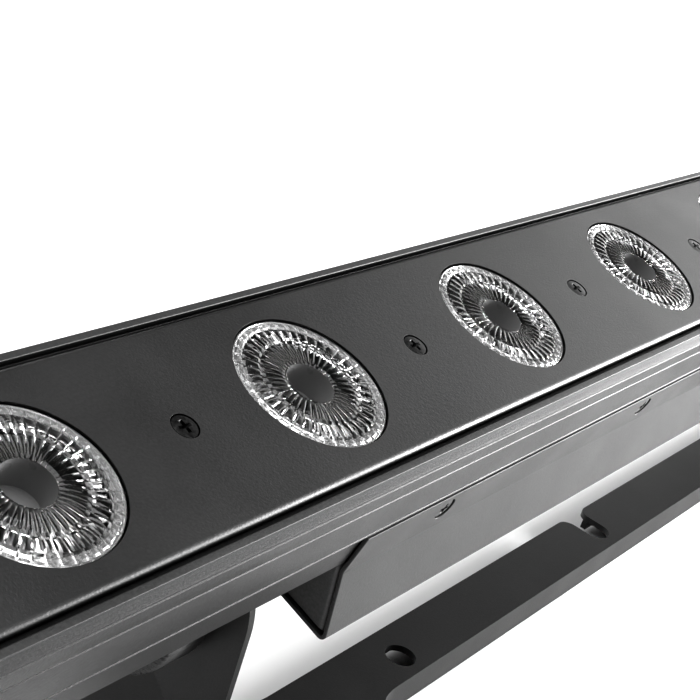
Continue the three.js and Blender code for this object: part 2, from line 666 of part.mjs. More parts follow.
addPart(barGroup, 'driver_cover', makeCover(), materials.cover);
const endPlate = pair(makeEndPlate());
addPart(barGroup, 'cover_end_plate_left', endPlate.left, materials.cover);
addPart(barGroup, 'cover_end_plate_right', endPlate.right, materials.cover);
addPart(barGroup, 'psu_module', makePsuModule(), materials.steel);
addPart(barGroup, 'driver_board', makeDriverBoard(), materials.board);
addPart(barGroup, 'display_module', makeDisplayModule(), materials.display);
buttonOffsets.forEach((offset, i) => {
  addPart(barGroup, `menu_button_${i + 1}`, makeMenuButton(offset), materials.rubber);
});
const lug = pair(makeLug());
addPart(barGroup, 'pivot_lug_left', lug.left, materials.yoke);
addPart(barGroup, 'pivot_lug_right', lug.right, materials.yoke);
const insert = pair(makeInsert());
addPart(barGroup, 'pivot_insert_left', insert.left, materials.brass);
addPart(barGroup, 'pivot_insert_right', insert.right, materials.brass);

addPart(yokeGroup, 'yoke', makeYoke(), materials.yoke);
const onPivot = (solid) => at(solid, 0, 0, PIVOT_HEIGHT);
const washer = pair(onPivot(makeFrictionWasher()));
addPart(yokeGroup, 'friction_washer_left', washer.left, materials.rubber);
addPart(yokeGroup, 'friction_washer_right', washer.right, materials.rubber);
const knob = pair(onPivot(makeKnob()));
addPart(yokeGroup, 'tilt_knob_left', knob.left, materials.knob);
addPart(yokeGroup, 'tilt_knob_right', knob.right, materials.knob);
const foot = makeFoot();
[['near_left', -1, FOOT_NEAR], ['near_right', 1, FOOT_NEAR], ['far_left', -1, FOOT_FAR],
  ['far_right', 1, FOOT_FAR]].forEach(([name, side, [x, y]]) => {
  const mesh = addPart(yokeGroup, `rubber_foot_${name}`, foot, materials.rubber);
  mesh.position.set(side * x, y, 0);
});

// The origin is the middle of the base of the whole batten's box.
batten.updateMatrixWorld(true);
const box = new THREE.Box3().setFromObject(batten, true);
batten.position.set(-(box.min.x + box.max.x) / 2, -(box.min.y + box.max.y) / 2, -box.min.z);

export default batten;
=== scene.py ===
import json
import math

import bmesh
import bpy
from mathutils import Matrix, Vector, geometry


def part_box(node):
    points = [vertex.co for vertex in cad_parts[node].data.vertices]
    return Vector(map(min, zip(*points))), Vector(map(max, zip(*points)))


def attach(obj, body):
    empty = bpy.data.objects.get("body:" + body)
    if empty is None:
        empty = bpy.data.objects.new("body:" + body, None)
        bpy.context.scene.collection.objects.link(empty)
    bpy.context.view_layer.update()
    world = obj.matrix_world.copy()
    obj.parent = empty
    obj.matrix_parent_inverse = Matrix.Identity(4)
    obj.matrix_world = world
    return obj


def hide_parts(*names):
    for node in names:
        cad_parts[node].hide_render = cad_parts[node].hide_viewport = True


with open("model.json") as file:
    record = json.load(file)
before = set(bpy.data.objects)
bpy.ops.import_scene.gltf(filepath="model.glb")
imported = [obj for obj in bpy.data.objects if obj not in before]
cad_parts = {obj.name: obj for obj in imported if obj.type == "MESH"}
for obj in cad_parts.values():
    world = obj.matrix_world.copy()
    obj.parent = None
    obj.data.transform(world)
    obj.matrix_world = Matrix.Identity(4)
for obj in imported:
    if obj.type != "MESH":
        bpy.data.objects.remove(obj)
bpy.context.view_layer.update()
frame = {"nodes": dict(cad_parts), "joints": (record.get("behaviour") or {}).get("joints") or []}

# ---- Frame ---------------------------------------------------
# Shapes are drawn in millimetres, then placed by these matrices.
MM = 0.001
tilt_joint = next(j for j in frame["joints"] if j["name"] == "bar_tilt")
PIVOT = Vector(tilt_joint["pos_m"])
REST_TILT = math.radians(16.3)
PIVOT_DROP = 62
SCALE = Matrix.Scale(MM, 4)
YOKE_PLACE = Matrix.Translation((0, PIVOT.y, 0)) @ SCALE
PIVOT_PLACE = Matrix.Translation(PIVOT) @ SCALE
BAR_PLACE = PIVOT_PLACE @ Matrix.Rotation(REST_TILT, 4, "X") @ Matrix.Translation((0, 0, PIVOT_DROP))

# ---- Sizes in millimetres ------------------------------------
# Housing. Heights on the bar are measured from the top of the front panel.
HOUSING_HALF_WIDTH = 27.5
HOUSING_HALF_LENGTH = 474
HOUSING_WALL = 2
SKIRT_HALF_WIDTH = 26.5
SKIRT_STEP_Z = -25.1
SKIRT_EDGE_Z = -35.5
LIP_TOP_Z = -0.3
LIP_INNER_Y = 25.7
LEDGE_INNER_Y = 22.5
LEDGE_Z = (-3.6, -2.1)
FLOOR_TOP_Z = -24
FLOOR_BOTTOM_Z = -27
# The height of each rib's crest and of the groove under it, and that groove's depth
RIB_GROOVES = ((-0.7, -1.7, 0.6), (-2.6, -3.5, 0.6), (-4.4, -5.3, 0.6), (-6.1, -7.0, 0.3))
RIB_END_Z = -7.3
FINE_GROOVES = (-12.15, -24.05)
FINE_GROOVE_DEPTH = 0.7

# Front panel and screws
PANEL_HALF_WIDTH = 24.3
PANEL_THICKNESS = 1.8
PANEL_CORNER = 0.6
PANEL_ROLL = 1.5
PANEL_DROP = 1.2
LENS_HOLE_RADIUS = 18.65
SCREW_HEAD_RADIUS = 2.95
SCREW_HEAD_HEIGHT = 1.6
SCREW_SHANK_RADIUS = 1.5
PANEL_SCREW_GAP = 0.25
PANEL_SCREW_SINK = 0.15

# Lenses and light sources
LENS_RADIUS = 18.35
LENS_RINGS = (5.9, 11.8, 16.0, 17.8)
LENS_FROST_RADIUS = 16.0
LENS_FROST_Z = -4.3
LENS_FRONT_Z = -0.2
PILLOW = 0.4
PETALS = 40
RECESS_RADIUS = 5.6
RECESS_FLOOR_Z = -7.6
SOURCE_HALF_WIDTH = 3.55
SOURCE_Z = (FLOOR_TOP_Z + 1.9, FLOOR_TOP_Z + 3.35)
CHIP_OFFSET = 1.2

# Driver cover and its end plates
COVER_HALF_LENGTH = 189
COVER_SHEET = 1
COVER_HALF_WIDTH = 27.8
COVER_TOP_Z = -25.8
COVER_BEND_Z = -37.4
COVER_BOTTOM_Z = -55.9
COVER_FLARE = math.radians(20)
COVER_SCREW_X = (42.9, 152.6)
COVER_SCREW_Z = -31
COVER_SCREW_GAP = 0.35
MENU_Z = (COVER_BEND_Z + COVER_BOTTOM_Z) / 2
DISPLAY_X = 28
DISPLAY_SIZE = (34, 10)
DISPLAY_GAP = 0.3
BUTTON_HOLE_RADIUS = 3.3
PLATE_X = 188.2
PLATE_GAP = 0.4
PLATE_BEND_RADIUS = 1.6
STRIP_WIDTH = 11

# Yoke
YOKE_SHEET = 2
YOKE_HALF_WIDTH = 208
WEB_TOP = 9.75
WEB_NEAR_Y = -31.3
WEB_FAR_Y = -13.3
LOBE_NEAR_Y = -62
LOBE_CORNER = 12
TOE_WIDTH = 28
TOE_RADIUS = 8
TOE_CENTRE_Y = 36
RELIEF = 3
RIM_CLEARANCE = 0.4
RIM_END_X = 190
FAR_RIM_X = (13, 160)
BEND_RADIUS = 2.2
ARM_HEAD_RADIUS = 25.6
ARM_NECK_WIDTH = 14
TAPER_DISTANCE = 14
TAPER_ANGLE = math.radians(46)
CLAMP_HOLE = (120, -23.8)
CLAMP_HOLE_RADIUS = 4.5
SLOT_HALF_WIDTH = 5
SLOT_END_Y = -22.9
SLOT_MOUTH_RADIUS = 4

# Pivots
STUD_HOLE_RADIUS = 3.4
STUD_RADIUS = 3
STUD_TIP_X = 195.6
INSERT_RADIUS = 6.5
INSERT_X = (195.1, 202.1)
WASHER_RADIUS = 11
WASHER_X = (204.7, 205.7)
KNOB_RADIUS = 18
KNOB_INNER_X = 210.2
KNOB_OUTER_X = 224
KNOB_RIBS = 72
LUG_SHEET = 2
LUG_INNER_X = 190.6
LUG_OUTER_X = 204.4
LUG_HALF_WIDTH = 15
LUG_HEAD_RADIUS = 12
LUG_FLANGE = 11

# End caps and sockets
END_WALL_X = 498
BAR_END_X = 500
CAP_CORNER = 1.6
SOCKET_OFFSET_Y = 13.2
SOCKET_Z = -17.8
SOCKET_BORE_RADIUS = 12
SOCKET_BODY_RADIUS = 11.4
SOCKET_PLATE = (12.6, 14.8)

# A turned profile stops this far from its axis, so that its ends are small flat faces.
AXIS = 0.02


# ---- Outlines ------------------------------------------------
def arc(centre, radius, start, end, steps):
    """Points on a circle from one angle to the other, in degrees, both ends included."""
    angles = [math.radians(start + (end - start) * i / steps) for i in range(steps + 1)]
    return [(centre[0] + radius * math.cos(a), centre[1] + radius * math.sin(a)) for a in angles]


def circle(centre, radius, steps=48):
    return arc(centre, radius, 0, 360, steps)[:-1]


def bezier(a, b, c, d, steps):
    """Points on the cubic curve from a to d that is pulled toward b and c."""
    points = []
    for i in range(steps + 1):
        t = i / steps
        weights = ((1 - t) ** 3, 3 * t * (1 - t) ** 2, 3 * t * t * (1 - t), t ** 3)
        points.append(tuple(sum(w * p[k] for w, p in zip(weights, (a, b, c, d))) for k in (0, 1)))
    return points


def fillet(before, corner, after, radius, steps):
    """The arc that rounds one corner of an outline."""
    p, a, b = Vector(corner), Vector(before), Vector(after)
    to_a, to_b = (a - p).normalized(), (b - p).normalized()
    half = to_a.angle(to_b) / 2
    reach = min(radius / math.tan(half), 0.49 * (a - p).length, 0.49 * (b - p).length)
    true_radius = reach * math.tan(half)
    centre = p + (to_a + to_b).normalized() * (true_radius / math.sin(half))
    start, end = p + to_a * reach - centre, p + to_b * reach - centre
    turn = math.atan2(start.x * end.y - start.y * end.x, start.dot(end))
    return [tuple(centre + Matrix.Rotation(turn * i / steps, 2) @ start) for i in range(steps + 1)]


def rounded(points, radius, steps=4, closed=True):
    """Rounds every corner of an outline: a point may carry a radius of its own as a third number."""
    count = len(points)
    result = []
    for i, point in enumerate(points):
        own = point[2] if len(point) > 2 else radius
        if own <= 0 or (not closed and i in (0, count - 1)):
            result.append(point[:2])
        else:
            before, after = points[i - 1][:2], points[(i + 1) % count][:2]
            result += fillet(before, point[:2], after, own, steps)
    return result


def mirrored(half):
    """A half outline with its mirror image across the first axis put after it."""
    return half + [(-p[0], *p[1:]) for p in reversed(half)]


def rectangle(half_width, low, high, radius, steps=6):
    """A rounded rectangle that runs from low to high on its second axis."""
    corners = [(half_width, low), (half_width, high), (-half_width, high), (-half_width, low)]
    return rounded(corners, radius, steps)


# ---- Mesh makers, all in millimetres -------------------------
def prism(outline, x0, x1):
    """A closed outline in the YZ plane, pulled along X."""
    bm = bmesh.new()
    ends = [[bm.verts.new((x, y, z)) for y, z in outline] for x in (x0, x1)]
    for i in range(len(outline)):
        j = (i + 1) % len(outline)
        bm.faces.new((ends[0][i], ends[0][j], ends[1][j], ends[1][i]))
    for ring in ends:
        bm.faces.new(ring)
    return bm


def loft(rings, caps=True):
    """Skins a list of closed rings that have the same number of 3-D points."""
    bm = bmesh.new()
    loops = [[bm.verts.new(p) for p in ring] for ring in rings]
    for lower, upper in zip(loops, loops[1:]):
        for i in range(len(lower)):
            j = (i + 1) % len(lower)
            bm.faces.new((lower[i], lower[j], upper[j], upper[i]))
    if caps:
        bm.faces.new(loops[0])
        bm.faces.new(loops[-1])
    return bm


def turned(profile, segments, shape=None):
    """Turns (radius, height) points round Z. shape(radius, height, angle) may move each of them."""
    rings = []
    for radius, height in profile:
        ring = []
        for i in range(segments):
            angle = 2 * math.pi * i / segments
            r, h = shape(radius, height, angle) if shape else (radius, height)
            ring.append((r * math.cos(angle), r * math.sin(angle), h))
        rings.append(ring)
    closed = profile[0] == profile[-1]
    bm = loft(rings[:-1] if closed else rings, caps=not closed)
    if closed:
        verts = list(bm.verts)
        first, last = verts[:segments], verts[-segments:]
        for i in range(segments):
            j = (i + 1) % segments
            bm.faces.new((last[i], last[j], first[j], first[i]))
    return bm


def moved(bm, matrix):
    bmesh.ops.transform(bm, matrix=matrix, verts=bm.verts)
    return bm


def shifted(bm, x, y, z):
    return moved(bm, Matrix.Translation((x, y, z)))


ALONG_X = Matrix.Rotation(math.pi / 2, 4, "Y")
MIRROR_X = Matrix.Scale(-1, 4, (1, 0, 0))


def merged(parts):
    """One bmesh that holds all the given ones. A part may come with a material index."""
    whole = bmesh.new()
    for part in parts:
        bm, index = part if isinstance(part, tuple) else (part, 0)
        mesh = bpy.data.meshes.new("part")
        for face in bm.faces:
            face.material_index = index
        bm.to_mesh(mesh)
        bm.free()
        whole.from_mesh(mesh)
        bpy.data.meshes.remove(mesh)
    return whole


def loose_object(bm, name):
    """A new Blender object made of a bmesh, which is used up."""
    bmesh.ops.recalc_face_normals(bm, faces=bm.faces)
    mesh = bpy.data.meshes.new(name)
    bm.to_mesh(mesh)
    bm.free()
    obj = bpy.data.objects.new(name, mesh)
    bpy.context.scene.collection.objects.link(obj)
    return obj


def applied(obj, *others):
    """The object's mesh with its modifiers applied, as a bmesh. The objects themselves are removed."""
    evaluated = obj.evaluated_get(bpy.context.evaluated_depsgraph_get())
    result = bmesh.new()
    result.from_mesh(evaluated.to_mesh())
    for used in (obj, *others):
        mesh = used.data
        bpy.data.objects.remove(used)
        bpy.data.meshes.remove(mesh)
    return result


def combined(target, tool, operation="DIFFERENCE"):
    """The boolean of two bmeshes, as a new bmesh."""
    first, second = loose_object(target, "target"), loose_object(tool, "tool")
    modifier = first.modifiers.new("cut", "BOOLEAN")
    modifier.operation = operation
    modifier.object = second
    modifier.solver = "EXACT"
    return applied(first, second)


def thickened(bm, thickness):
    """A folded sheet grown to both sides of its middle surface."""
    obj = loose_object(bm, "sheet")
    modifier = obj.modifiers.new("thickness", "SOLIDIFY")
    modifier.thickness = thickness
    modifier.offset = 0
    modifier.use_even_offset = True
    return applied(obj)


def inside(point, loop):
    """Whether a point is within a closed outline, by counting the edges to its right."""
    x, y = point
    crossings = 0
    for (x0, y0), (x1, y1) in zip(loop, loop[1:] + loop[:1]):
        if (y0 > y) != (y1 > y) and x < x0 + (y - y0) * (x1 - x0) / (y1 - y0):
            crossings += 1
    return crossings % 2 == 1


def flat_sheet(outline, holes=(), cuts=()):
    """Triangles that fill an outline except its holes, in the XY plane.
    cuts are (axis, place) lines that get vertices of their own, so that the sheet can fold there."""
    loops = [outline, *holes]
    points, edges = [], []
    for loop in loops:
        start = len(points)
        points += [Vector(p[:2]) for p in loop]
        edges += [(start + i, start + (i + 1) % len(loop)) for i in range(len(loop))]
    verts, _, faces, *_ = geometry.delaunay_2d_cdt(points, edges, [], 1, 1e-5)
    bm = bmesh.new()
    made = [bm.verts.new((v.x, v.y, 0)) for v in verts]
    for face in faces:
        middle = sum((verts[i] for i in face), Vector((0, 0))) / len(face)
        if not any(inside(middle, hole) for hole in holes):
            bm.faces.new([made[i] for i in face])
    for axis, place in cuts:
        normal = Vector((axis == 0, axis == 1, 0))
        geom = bm.verts[:] + bm.edges[:] + bm.faces[:]
        bmesh.ops.bisect_plane(bm, geom=geom, dist=1e-5, plane_co=normal * place, plane_no=normal)
    return bm


def folded(bm, place):
    """Moves every vertex of a flat sheet to place(x, y)."""
    for vert in bm.verts:
        vert.co = Vector(place(vert.co.x, vert.co.y))
    return bm


def path_lengths(path):
    """How far along a path each of its points is."""
    lengths = [0.0]
    for a, b in zip(path, path[1:]):
        lengths.append(lengths[-1] + math.dist(a, b))
    return lengths


def along_path(path, lengths, s):
    """The point at a length along a path, carried straight on past both ends."""
    i = 0
    while i < len(path) - 2 and s > lengths[i + 1]:
        i += 1
    t = (s - lengths[i]) / (lengths[i + 1] - lengths[i])
    return tuple(a + (b - a) * t for a, b in zip(path[i], path[i + 1]))


# ---- Pieces --------------------------------------------------
def finished(mesh, place, material, sharp):
    """Places a mesh, gives it one material or a list of them, and marks its sharp edges."""
    mesh.transform(place)
    for one in material if isinstance(material, list) else [material]:
        mesh.materials.append(one)
    mesh.shade_smooth()
    mesh.set_sharp_from_angle(angle=math.radians(sharp))


def piece(name, bm, material, body, place=BAR_PLACE, replaces=(), edge=0.0, sharp=32):
    """A finished Blender object that rides on a CAD body. edge is the width of its rounded edges."""
    obj = loose_object(bm, name)
    finished(obj.data, place, material, sharp)
    if edge:
        bevel = obj.modifiers.new("edges", "BEVEL")
        bevel.width = edge * MM
        bevel.segments = 3
        bevel.limit_method = "ANGLE"
        bevel.angle_limit = math.radians(50)
        weighted = obj.modifiers.new("normals", "WEIGHTED_NORMAL")
        weighted.keep_sharp = False
        weighted.weight = 100
    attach(obj, body)
    if replaces:
        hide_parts(*replaces)
    return obj


def copies(names, bm, material, body, places, replaced=None, sharp=32):
    """Objects that share one mesh, each at its own matrix."""
    source = loose_object(bm, names[0])
    mesh = source.data
    finished(mesh, SCALE, material, sharp)
    for i, (name, place) in enumerate(zip(names, places)):
        obj = source if i == 0 else bpy.data.objects.new(name, mesh)
        if i:
            bpy.context.scene.collection.objects.link(obj)
        obj.matrix_world = place @ SCALE.inverted()
        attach(obj, body)
        if replaced:
            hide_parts(replaced[i])


# ---- Materials -----------------------------------------------
class Shader:
    """A node material with one Principled shader, built up a step at a time."""

    def __init__(self, name, **sockets):
        self.material = bpy.data.materials.new(name)
        self.material.use_nodes = True
        self.nodes = self.material.node_tree.nodes
        self.links = self.material.node_tree.links
        self.shader = self.nodes["Principled BSDF"]
        self.where = self.nodes.new("ShaderNodeTexCoord").outputs["Object"]
        for socket, value in sockets.items():
            self.shader.inputs[socket.replace("_", " ")].default_value = value

    def node(self, kind, inputs, **settings):
        node = self.nodes.new("ShaderNode" + kind)
        for key, value in settings.items():
            setattr(node, key, value)
        for key, value in inputs.items():
            if isinstance(value, bpy.types.NodeSocket):
                self.links.new(value, node.inputs[key])
            else:
                node.inputs[key].default_value = value
        return node

    def noise(self, scale, detail=2.0, roughness=0.5, stretch=None):
        where = self.where
        if stretch:
            where = self.node("Mapping", {"Vector": where, "Scale": stretch}).outputs[0]
        inputs = {"Vector": where, "Scale": scale, "Detail": detail, "Roughness": roughness}
        return self.node("TexNoise", inputs).outputs["Fac"]

    def ramp(self, value, low, high, start, end):
        inputs = {"Value": value, "From Min": low, "From Max": high, "To Min": start, "To Max": end}
        return self.node("MapRange", inputs).outputs["Result"]

    def colour(self, value, dark, light):
        """Blends two greys or colours by a value from 0 to 1, into the base colour."""
        mix = self.node("Mix", {0: value}, data_type="RGBA")
        mix.inputs[6].default_value = tint(dark)
        mix.inputs[7].default_value = tint(light)
        self.links.new(mix.outputs[2], self.shader.inputs["Base Color"])

    def painted_crevice_shade(self, reach, low):
        """Painted shade: how open a spot is to its surroundings within reach, low in a tight gap, up to
        1.
        """
        openness = self.node("AmbientOcclusion", {"Distance": reach * MM}, samples=4).outputs["AO"]
        return self.ramp(openness, 0.25, 0.85, low, 1)

    def product(self, first, second):
        return self.node("Math", {0: first, 1: second}, operation="MULTIPLY").outputs[0]

    def rough(self, value, low, high):
        self.links.new(self.ramp(value, 0.3, 0.7, low, high), self.shader.inputs["Roughness"])

    def bump(self, height, strength, distance):
        inputs = {"Height": height, "Strength": strength, "Distance": distance * MM}
        node = self.node("Bump", inputs)
        self.links.new(node.outputs["Normal"], self.shader.inputs["Normal"])


def tint(value):
    """A grey or an RGB colour, as RGBA."""
    return (*value, 1) if isinstance(value, tuple) else (value, value, value, 1)


def powder_coat(name, dark, light, roughness, grain, depth, gloss=0.5, crevice_shade_floor=0.0):
    """Baked powder paint: a fine grain in bump and colour, and slow patches in gloss, with painted shade
    in its crevices. The last argument is how bright the crevices stay, from 0 for black up to 1."""
    coat = Shader(name)
    fine = coat.noise(grain, 3.0, 0.6)
    # Painted shade: ambient occlusion darkens the colour and the specular in crevices.
    painted_shade = coat.painted_crevice_shade(3.0, crevice_shade_floor)
    coat.colour(coat.product(coat.ramp(fine, 0.3, 0.7, dark / light, 1), painted_shade), 0.0, light)
    coat.links.new(coat.product(painted_shade, gloss), coat.shader.inputs["Specular IOR Level"])
    coat.rough(coat.noise(40, 3.0), roughness - 0.04, roughness + 0.04)
    coat.bump(fine, 0.5, depth)
    return coat.material


def moulded(name, dark, light, roughness, grain=2500, depth=0.02):
    """Moulded plastic or rubber: a soft orange-peel grain."""
    plastic = Shader(name, Specular_IOR_Level=0.45)
    fine = plastic.noise(grain, 2.0)
    slow = plastic.noise(60, 3.0)
    plastic.colour(plastic.ramp(slow, 0.3, 0.7, 0, 1), dark, light)
    plastic.rough(slow, roughness - 0.05, roughness + 0.05)
    plastic.bump(fine, 0.4, depth)
    return plastic.material


def bare_metal(name, dark, light, roughness, brushed=(1, 1, 1)):
    """Metal with a fine grain, which is drawn out along the axis where brushed is low."""
    metal = Shader(name, Metallic=1.0)
    lines = metal.noise(900, 3.0, 0.6, brushed)
    metal.colour(metal.ramp(lines, 0.3, 0.7, 0, 1), dark, light)
    metal.rough(lines, roughness - 0.06, roughness + 0.06)
    metal.bump(lines, 0.25, 0.02)
    return metal.material


def clear_acrylic(name, transmission, smooth, matt):
    """Moulded lens acrylic: refracting, with faint flow marks. Roughness runs from smooth to matt."""
    clear = Shader(name, Transmission_Weight=transmission, IOR=1.49)
    clear.colour(clear.noise(120, 2.0), 0.93, 1.0)
    clear.rough(clear.noise(300, 2.0), smooth, matt)
    return clear.material


def circuit_board():
    """Solder mask over square copper areas."""
    board = Shader("circuit_board", Roughness=0.4)
    cells = board.node("TexVoronoi", {"Vector": board.where, "Scale": 260.0}, distance="CHEBYCHEV")
    board.colour(board.ramp(cells.outputs["Distance"], 0.2, 0.6, 0, 1), 0.008, 0.014)
    board.bump(cells.outputs["Distance"], 0.3, 0.03)
    return board.material


# Every powder coat below darkens its crevices with painted shade.
panel_paint = powder_coat("panel_powder_coat", 0.006, 0.014, 0.38, 1700, 0.12)
housing_paint = powder_coat("housing_powder_coat", 0.014, 0.032, 0.42, 1500, 0.16, 0.42)
cover_paint = powder_coat("cover_paint", 0.026, 0.040, 0.4, 1900, 0.07, 0.36, 0.5)
# Painted light: a lighter, glossier copy of the cover's paint brightens the end plates' dim faces.
end_plate_lit_paint = powder_coat("end_plate_lit_paint", 0.05, 0.08, 0.4, 1900, 0.07, 0.5, 0.5)
yoke_paint = powder_coat("yoke_powder_coat", 0.004, 0.009, 0.45, 1900, 0.05, 0.4)
black_zinc = bare_metal("black_zinc", 0.03, 0.06, 0.32)
bright_steel = bare_metal("bright_steel", 0.45, 0.6, 0.3)
brass = bare_metal("brass", (0.42, 0.31, 0.12), (0.62, 0.47, 0.2), 0.32)
folded_aluminium = bare_metal("folded_aluminium", 0.5, 0.62, 0.4, (0.1, 1, 1))
cap_plastic = moulded("cap_plastic", 0.022, 0.03, 0.5)
socket_plastic = moulded("socket_plastic", 0.014, 0.02, 0.38)
power_plastic = moulded("power_socket_plastic", (0.02, 0.05, 0.16), (0.03, 0.07, 0.2), 0.4)
knob_plastic = moulded("knob_plastic", 0.014, 0.02, 0.4)
foot_rubber = moulded("foot_rubber", 0.012, 0.02, 0.75, 1800, 0.04)
display_window = moulded("display_window", (0.004, 0.007, 0.009), (0.006, 0.01, 0.013), 0.1,
                         800, 0.002)
board_mask = circuit_board()
acrylic = clear_acrylic("clear_acrylic", 1.0, 0.05, 0.09)
frosted_acrylic = clear_acrylic("frosted_acrylic", 0.88, 0.14, 0.22)
lens_core = moulded("lens_core", 0.2, 0.24, 0.3)
ceramic = moulded("source_ceramic", 0.75, 0.82, 0.4)
phosphor = moulded("source_chip", (0.6, 0.6, 0.55), (0.7, 0.7, 0.66), 0.3)


# ---- Housing, panel and screws -------------------------------
def housing_outline():
    """Half of the extrusion's section, from its floor out to the ribs and down the skirt."""
    inner = HOUSING_HALF_WIDTH - HOUSING_WALL
    skirt = SKIRT_HALF_WIDTH - HOUSING_WALL
    side = HOUSING_HALF_WIDTH
    ledge_low, ledge_top = LEDGE_Z
    half = [(0, FLOOR_TOP_Z, 0), (inner, FLOOR_TOP_Z), (inner, ledge_low), (LEDGE_INNER_Y, ledge_low),
            (LEDGE_INNER_Y, ledge_top), (LIP_INNER_Y, ledge_top), (LIP_INNER_Y, LIP_TOP_Z, 0.3),
            (side, LIP_TOP_Z, 0.3)]
    for crest, bottom, depth in RIB_GROOVES:
        half += [(side, crest, 0.15), (side - depth, bottom, 0.1)]
    half += [(side, RIB_END_Z, 0.05)]
    groove = side - FINE_GROOVE_DEPTH
    for z in FINE_GROOVES:
        half += [(side, z + 0.3, 0.1), (groove, z + 0.2, 0.05), (groove, z - 0.15, 0.05),
                 (side, z - 0.5, 0.15)]
    half += [(side, SKIRT_STEP_Z), (SKIRT_HALF_WIDTH, SKIRT_STEP_Z - 0.2),
             (SKIRT_HALF_WIDTH, SKIRT_EDGE_Z, 0.4), (skirt, SKIRT_EDGE_Z, 0.4),
             (skirt, FLOOR_BOTTOM_Z), (0, FLOOR_BOTTOM_Z, 0)]
    return half


def full_section(half, radius):
    """Closes a half outline, whose ends are on the middle line, with its mirror image."""
    mirror = [(-p[0], *p[1:]) for p in reversed(half[1:-1])]
    return rounded(half + mirror, radius)


lens_names = sorted(n for n in frame["nodes"] if n.startswith("lens_") and n[-1].isdigit())
screw_names = sorted(n for n in frame["nodes"] if n.startswith("panel_screw_"))


def middle_x(node):
    """Where a CAD node's middle is along X, in millimetres."""
    low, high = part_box(node)
    return (low.x + high.x) / 2 / MM


lens_x = [middle_x(n) for n in lens_names]
screw_x = [middle_x(n) for n in screw_names]


def make_housing():
    return prism(full_section(housing_outline(), 0.22), -HOUSING_HALF_LENGTH, HOUSING_HALF_LENGTH)


def make_panel():
    """A plate with a flat underside, whose long top edges roll over."""
    low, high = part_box("front_panel")
    half_length = (high.x - low.x) / 2 / MM
    outline = rectangle(half_length, -PANEL_HALF_WIDTH, PANEL_HALF_WIDTH, PANEL_CORNER, 3)
    holes = [circle((x, 0), LENS_HOLE_RADIUS, 120) for x in lens_x]
    holes += [circle((x, 0), SCREW_HEAD_RADIUS + PANEL_SCREW_GAP, 40) for x in screw_x]
    roll_start = PANEL_HALF_WIDTH - PANEL_ROLL
    cuts = []
    for degrees in range(0, 90, 15):
        y = roll_start + PANEL_ROLL * math.sin(math.radians(degrees))
        cuts += [(1, y), (1, -y)]
    plate = flat_sheet(outline, holes, cuts)
    top = plate.verts[:]
    grown = bmesh.ops.extrude_face_region(plate, geom=plate.faces[:], use_keep_orig=True)
    for vert in grown["geom"]:
        if isinstance(vert, bmesh.types.BMVert):
            vert.co.z = -PANEL_THICKNESS
    for vert in top:
        t = min(1, max(0, abs(vert.co.y) - roll_start) / PANEL_ROLL)
        vert.co.z = -PANEL_DROP * (1 - math.sqrt(1 - t * t))
    return plate


def phillips_cutter(reach, depth):
    """The tapered cross of a Phillips recess, opening upwards from its tip."""
    half_width = 0.42
    top = [(reach, half_width), (-reach, half_width), (-reach, -half_width), (reach, -half_width)]
    tip = [(x * 0.35, y * 0.6) for x, y in top]
    wings = []
    for turn in (0, 90):
        bm = loft([[(x, y, -depth) for x, y in tip], [(x * 1.2, y * 1.2, 0.5) for x, y in top]])
        wings.append(moved(bm, Matrix.Rotation(math.radians(turn), 4, "Z")))
    return combined(*wings, "UNION")


def make_screw(dome, length):
    """A countersunk Phillips screw whose head's rim is at height 0, with a low dome above it."""
    head, shank = SCREW_HEAD_RADIUS, SCREW_SHANK_RADIUS
    profile = [(AXIS, dome), (head * 0.5, dome * 0.8), (head * 0.85, dome * 0.3)]
    profile += [(head - 0.1, 0.0), (head, -0.12)]
    profile += [(shank, -SCREW_HEAD_HEIGHT), (shank, -length), (AXIS, -length)]
    return combined(turned(profile, 40), phillips_cutter(head * 0.58, 1.1))


# ---- Lens ----------------------------------------------------
def lens_front():
    """Stations across the front face: a pillow for each ring, one unit high, with grooves between."""
    stations = []
    for inner, outer in reversed(list(zip(LENS_RINGS, LENS_RINGS[1:]))):
        steps = 7 if outer - inner > 2 else 4
        for i in range(steps + 1):
            t = i / steps
            crown = math.sqrt(4 * t * (1 - t))
            stations.append((outer + (inner - outer) * t, LENS_FRONT_Z - 1 + crown))
    return stations


def lens_shape(radius, height, angle):
    """Lowers the front face's pillows to their real height and splits each ring into petals."""
    across = abs(math.sin(PETALS * angle / 2))
    if radius <= LENS_RINGS[-1] and LENS_FRONT_Z - 1.01 < height <= LENS_FRONT_Z + 0.01:
        crown = height - LENS_FRONT_Z + 1
        return radius, LENS_FRONT_Z - PILLOW * (1 - crown * math.sqrt(across))
    return radius, height


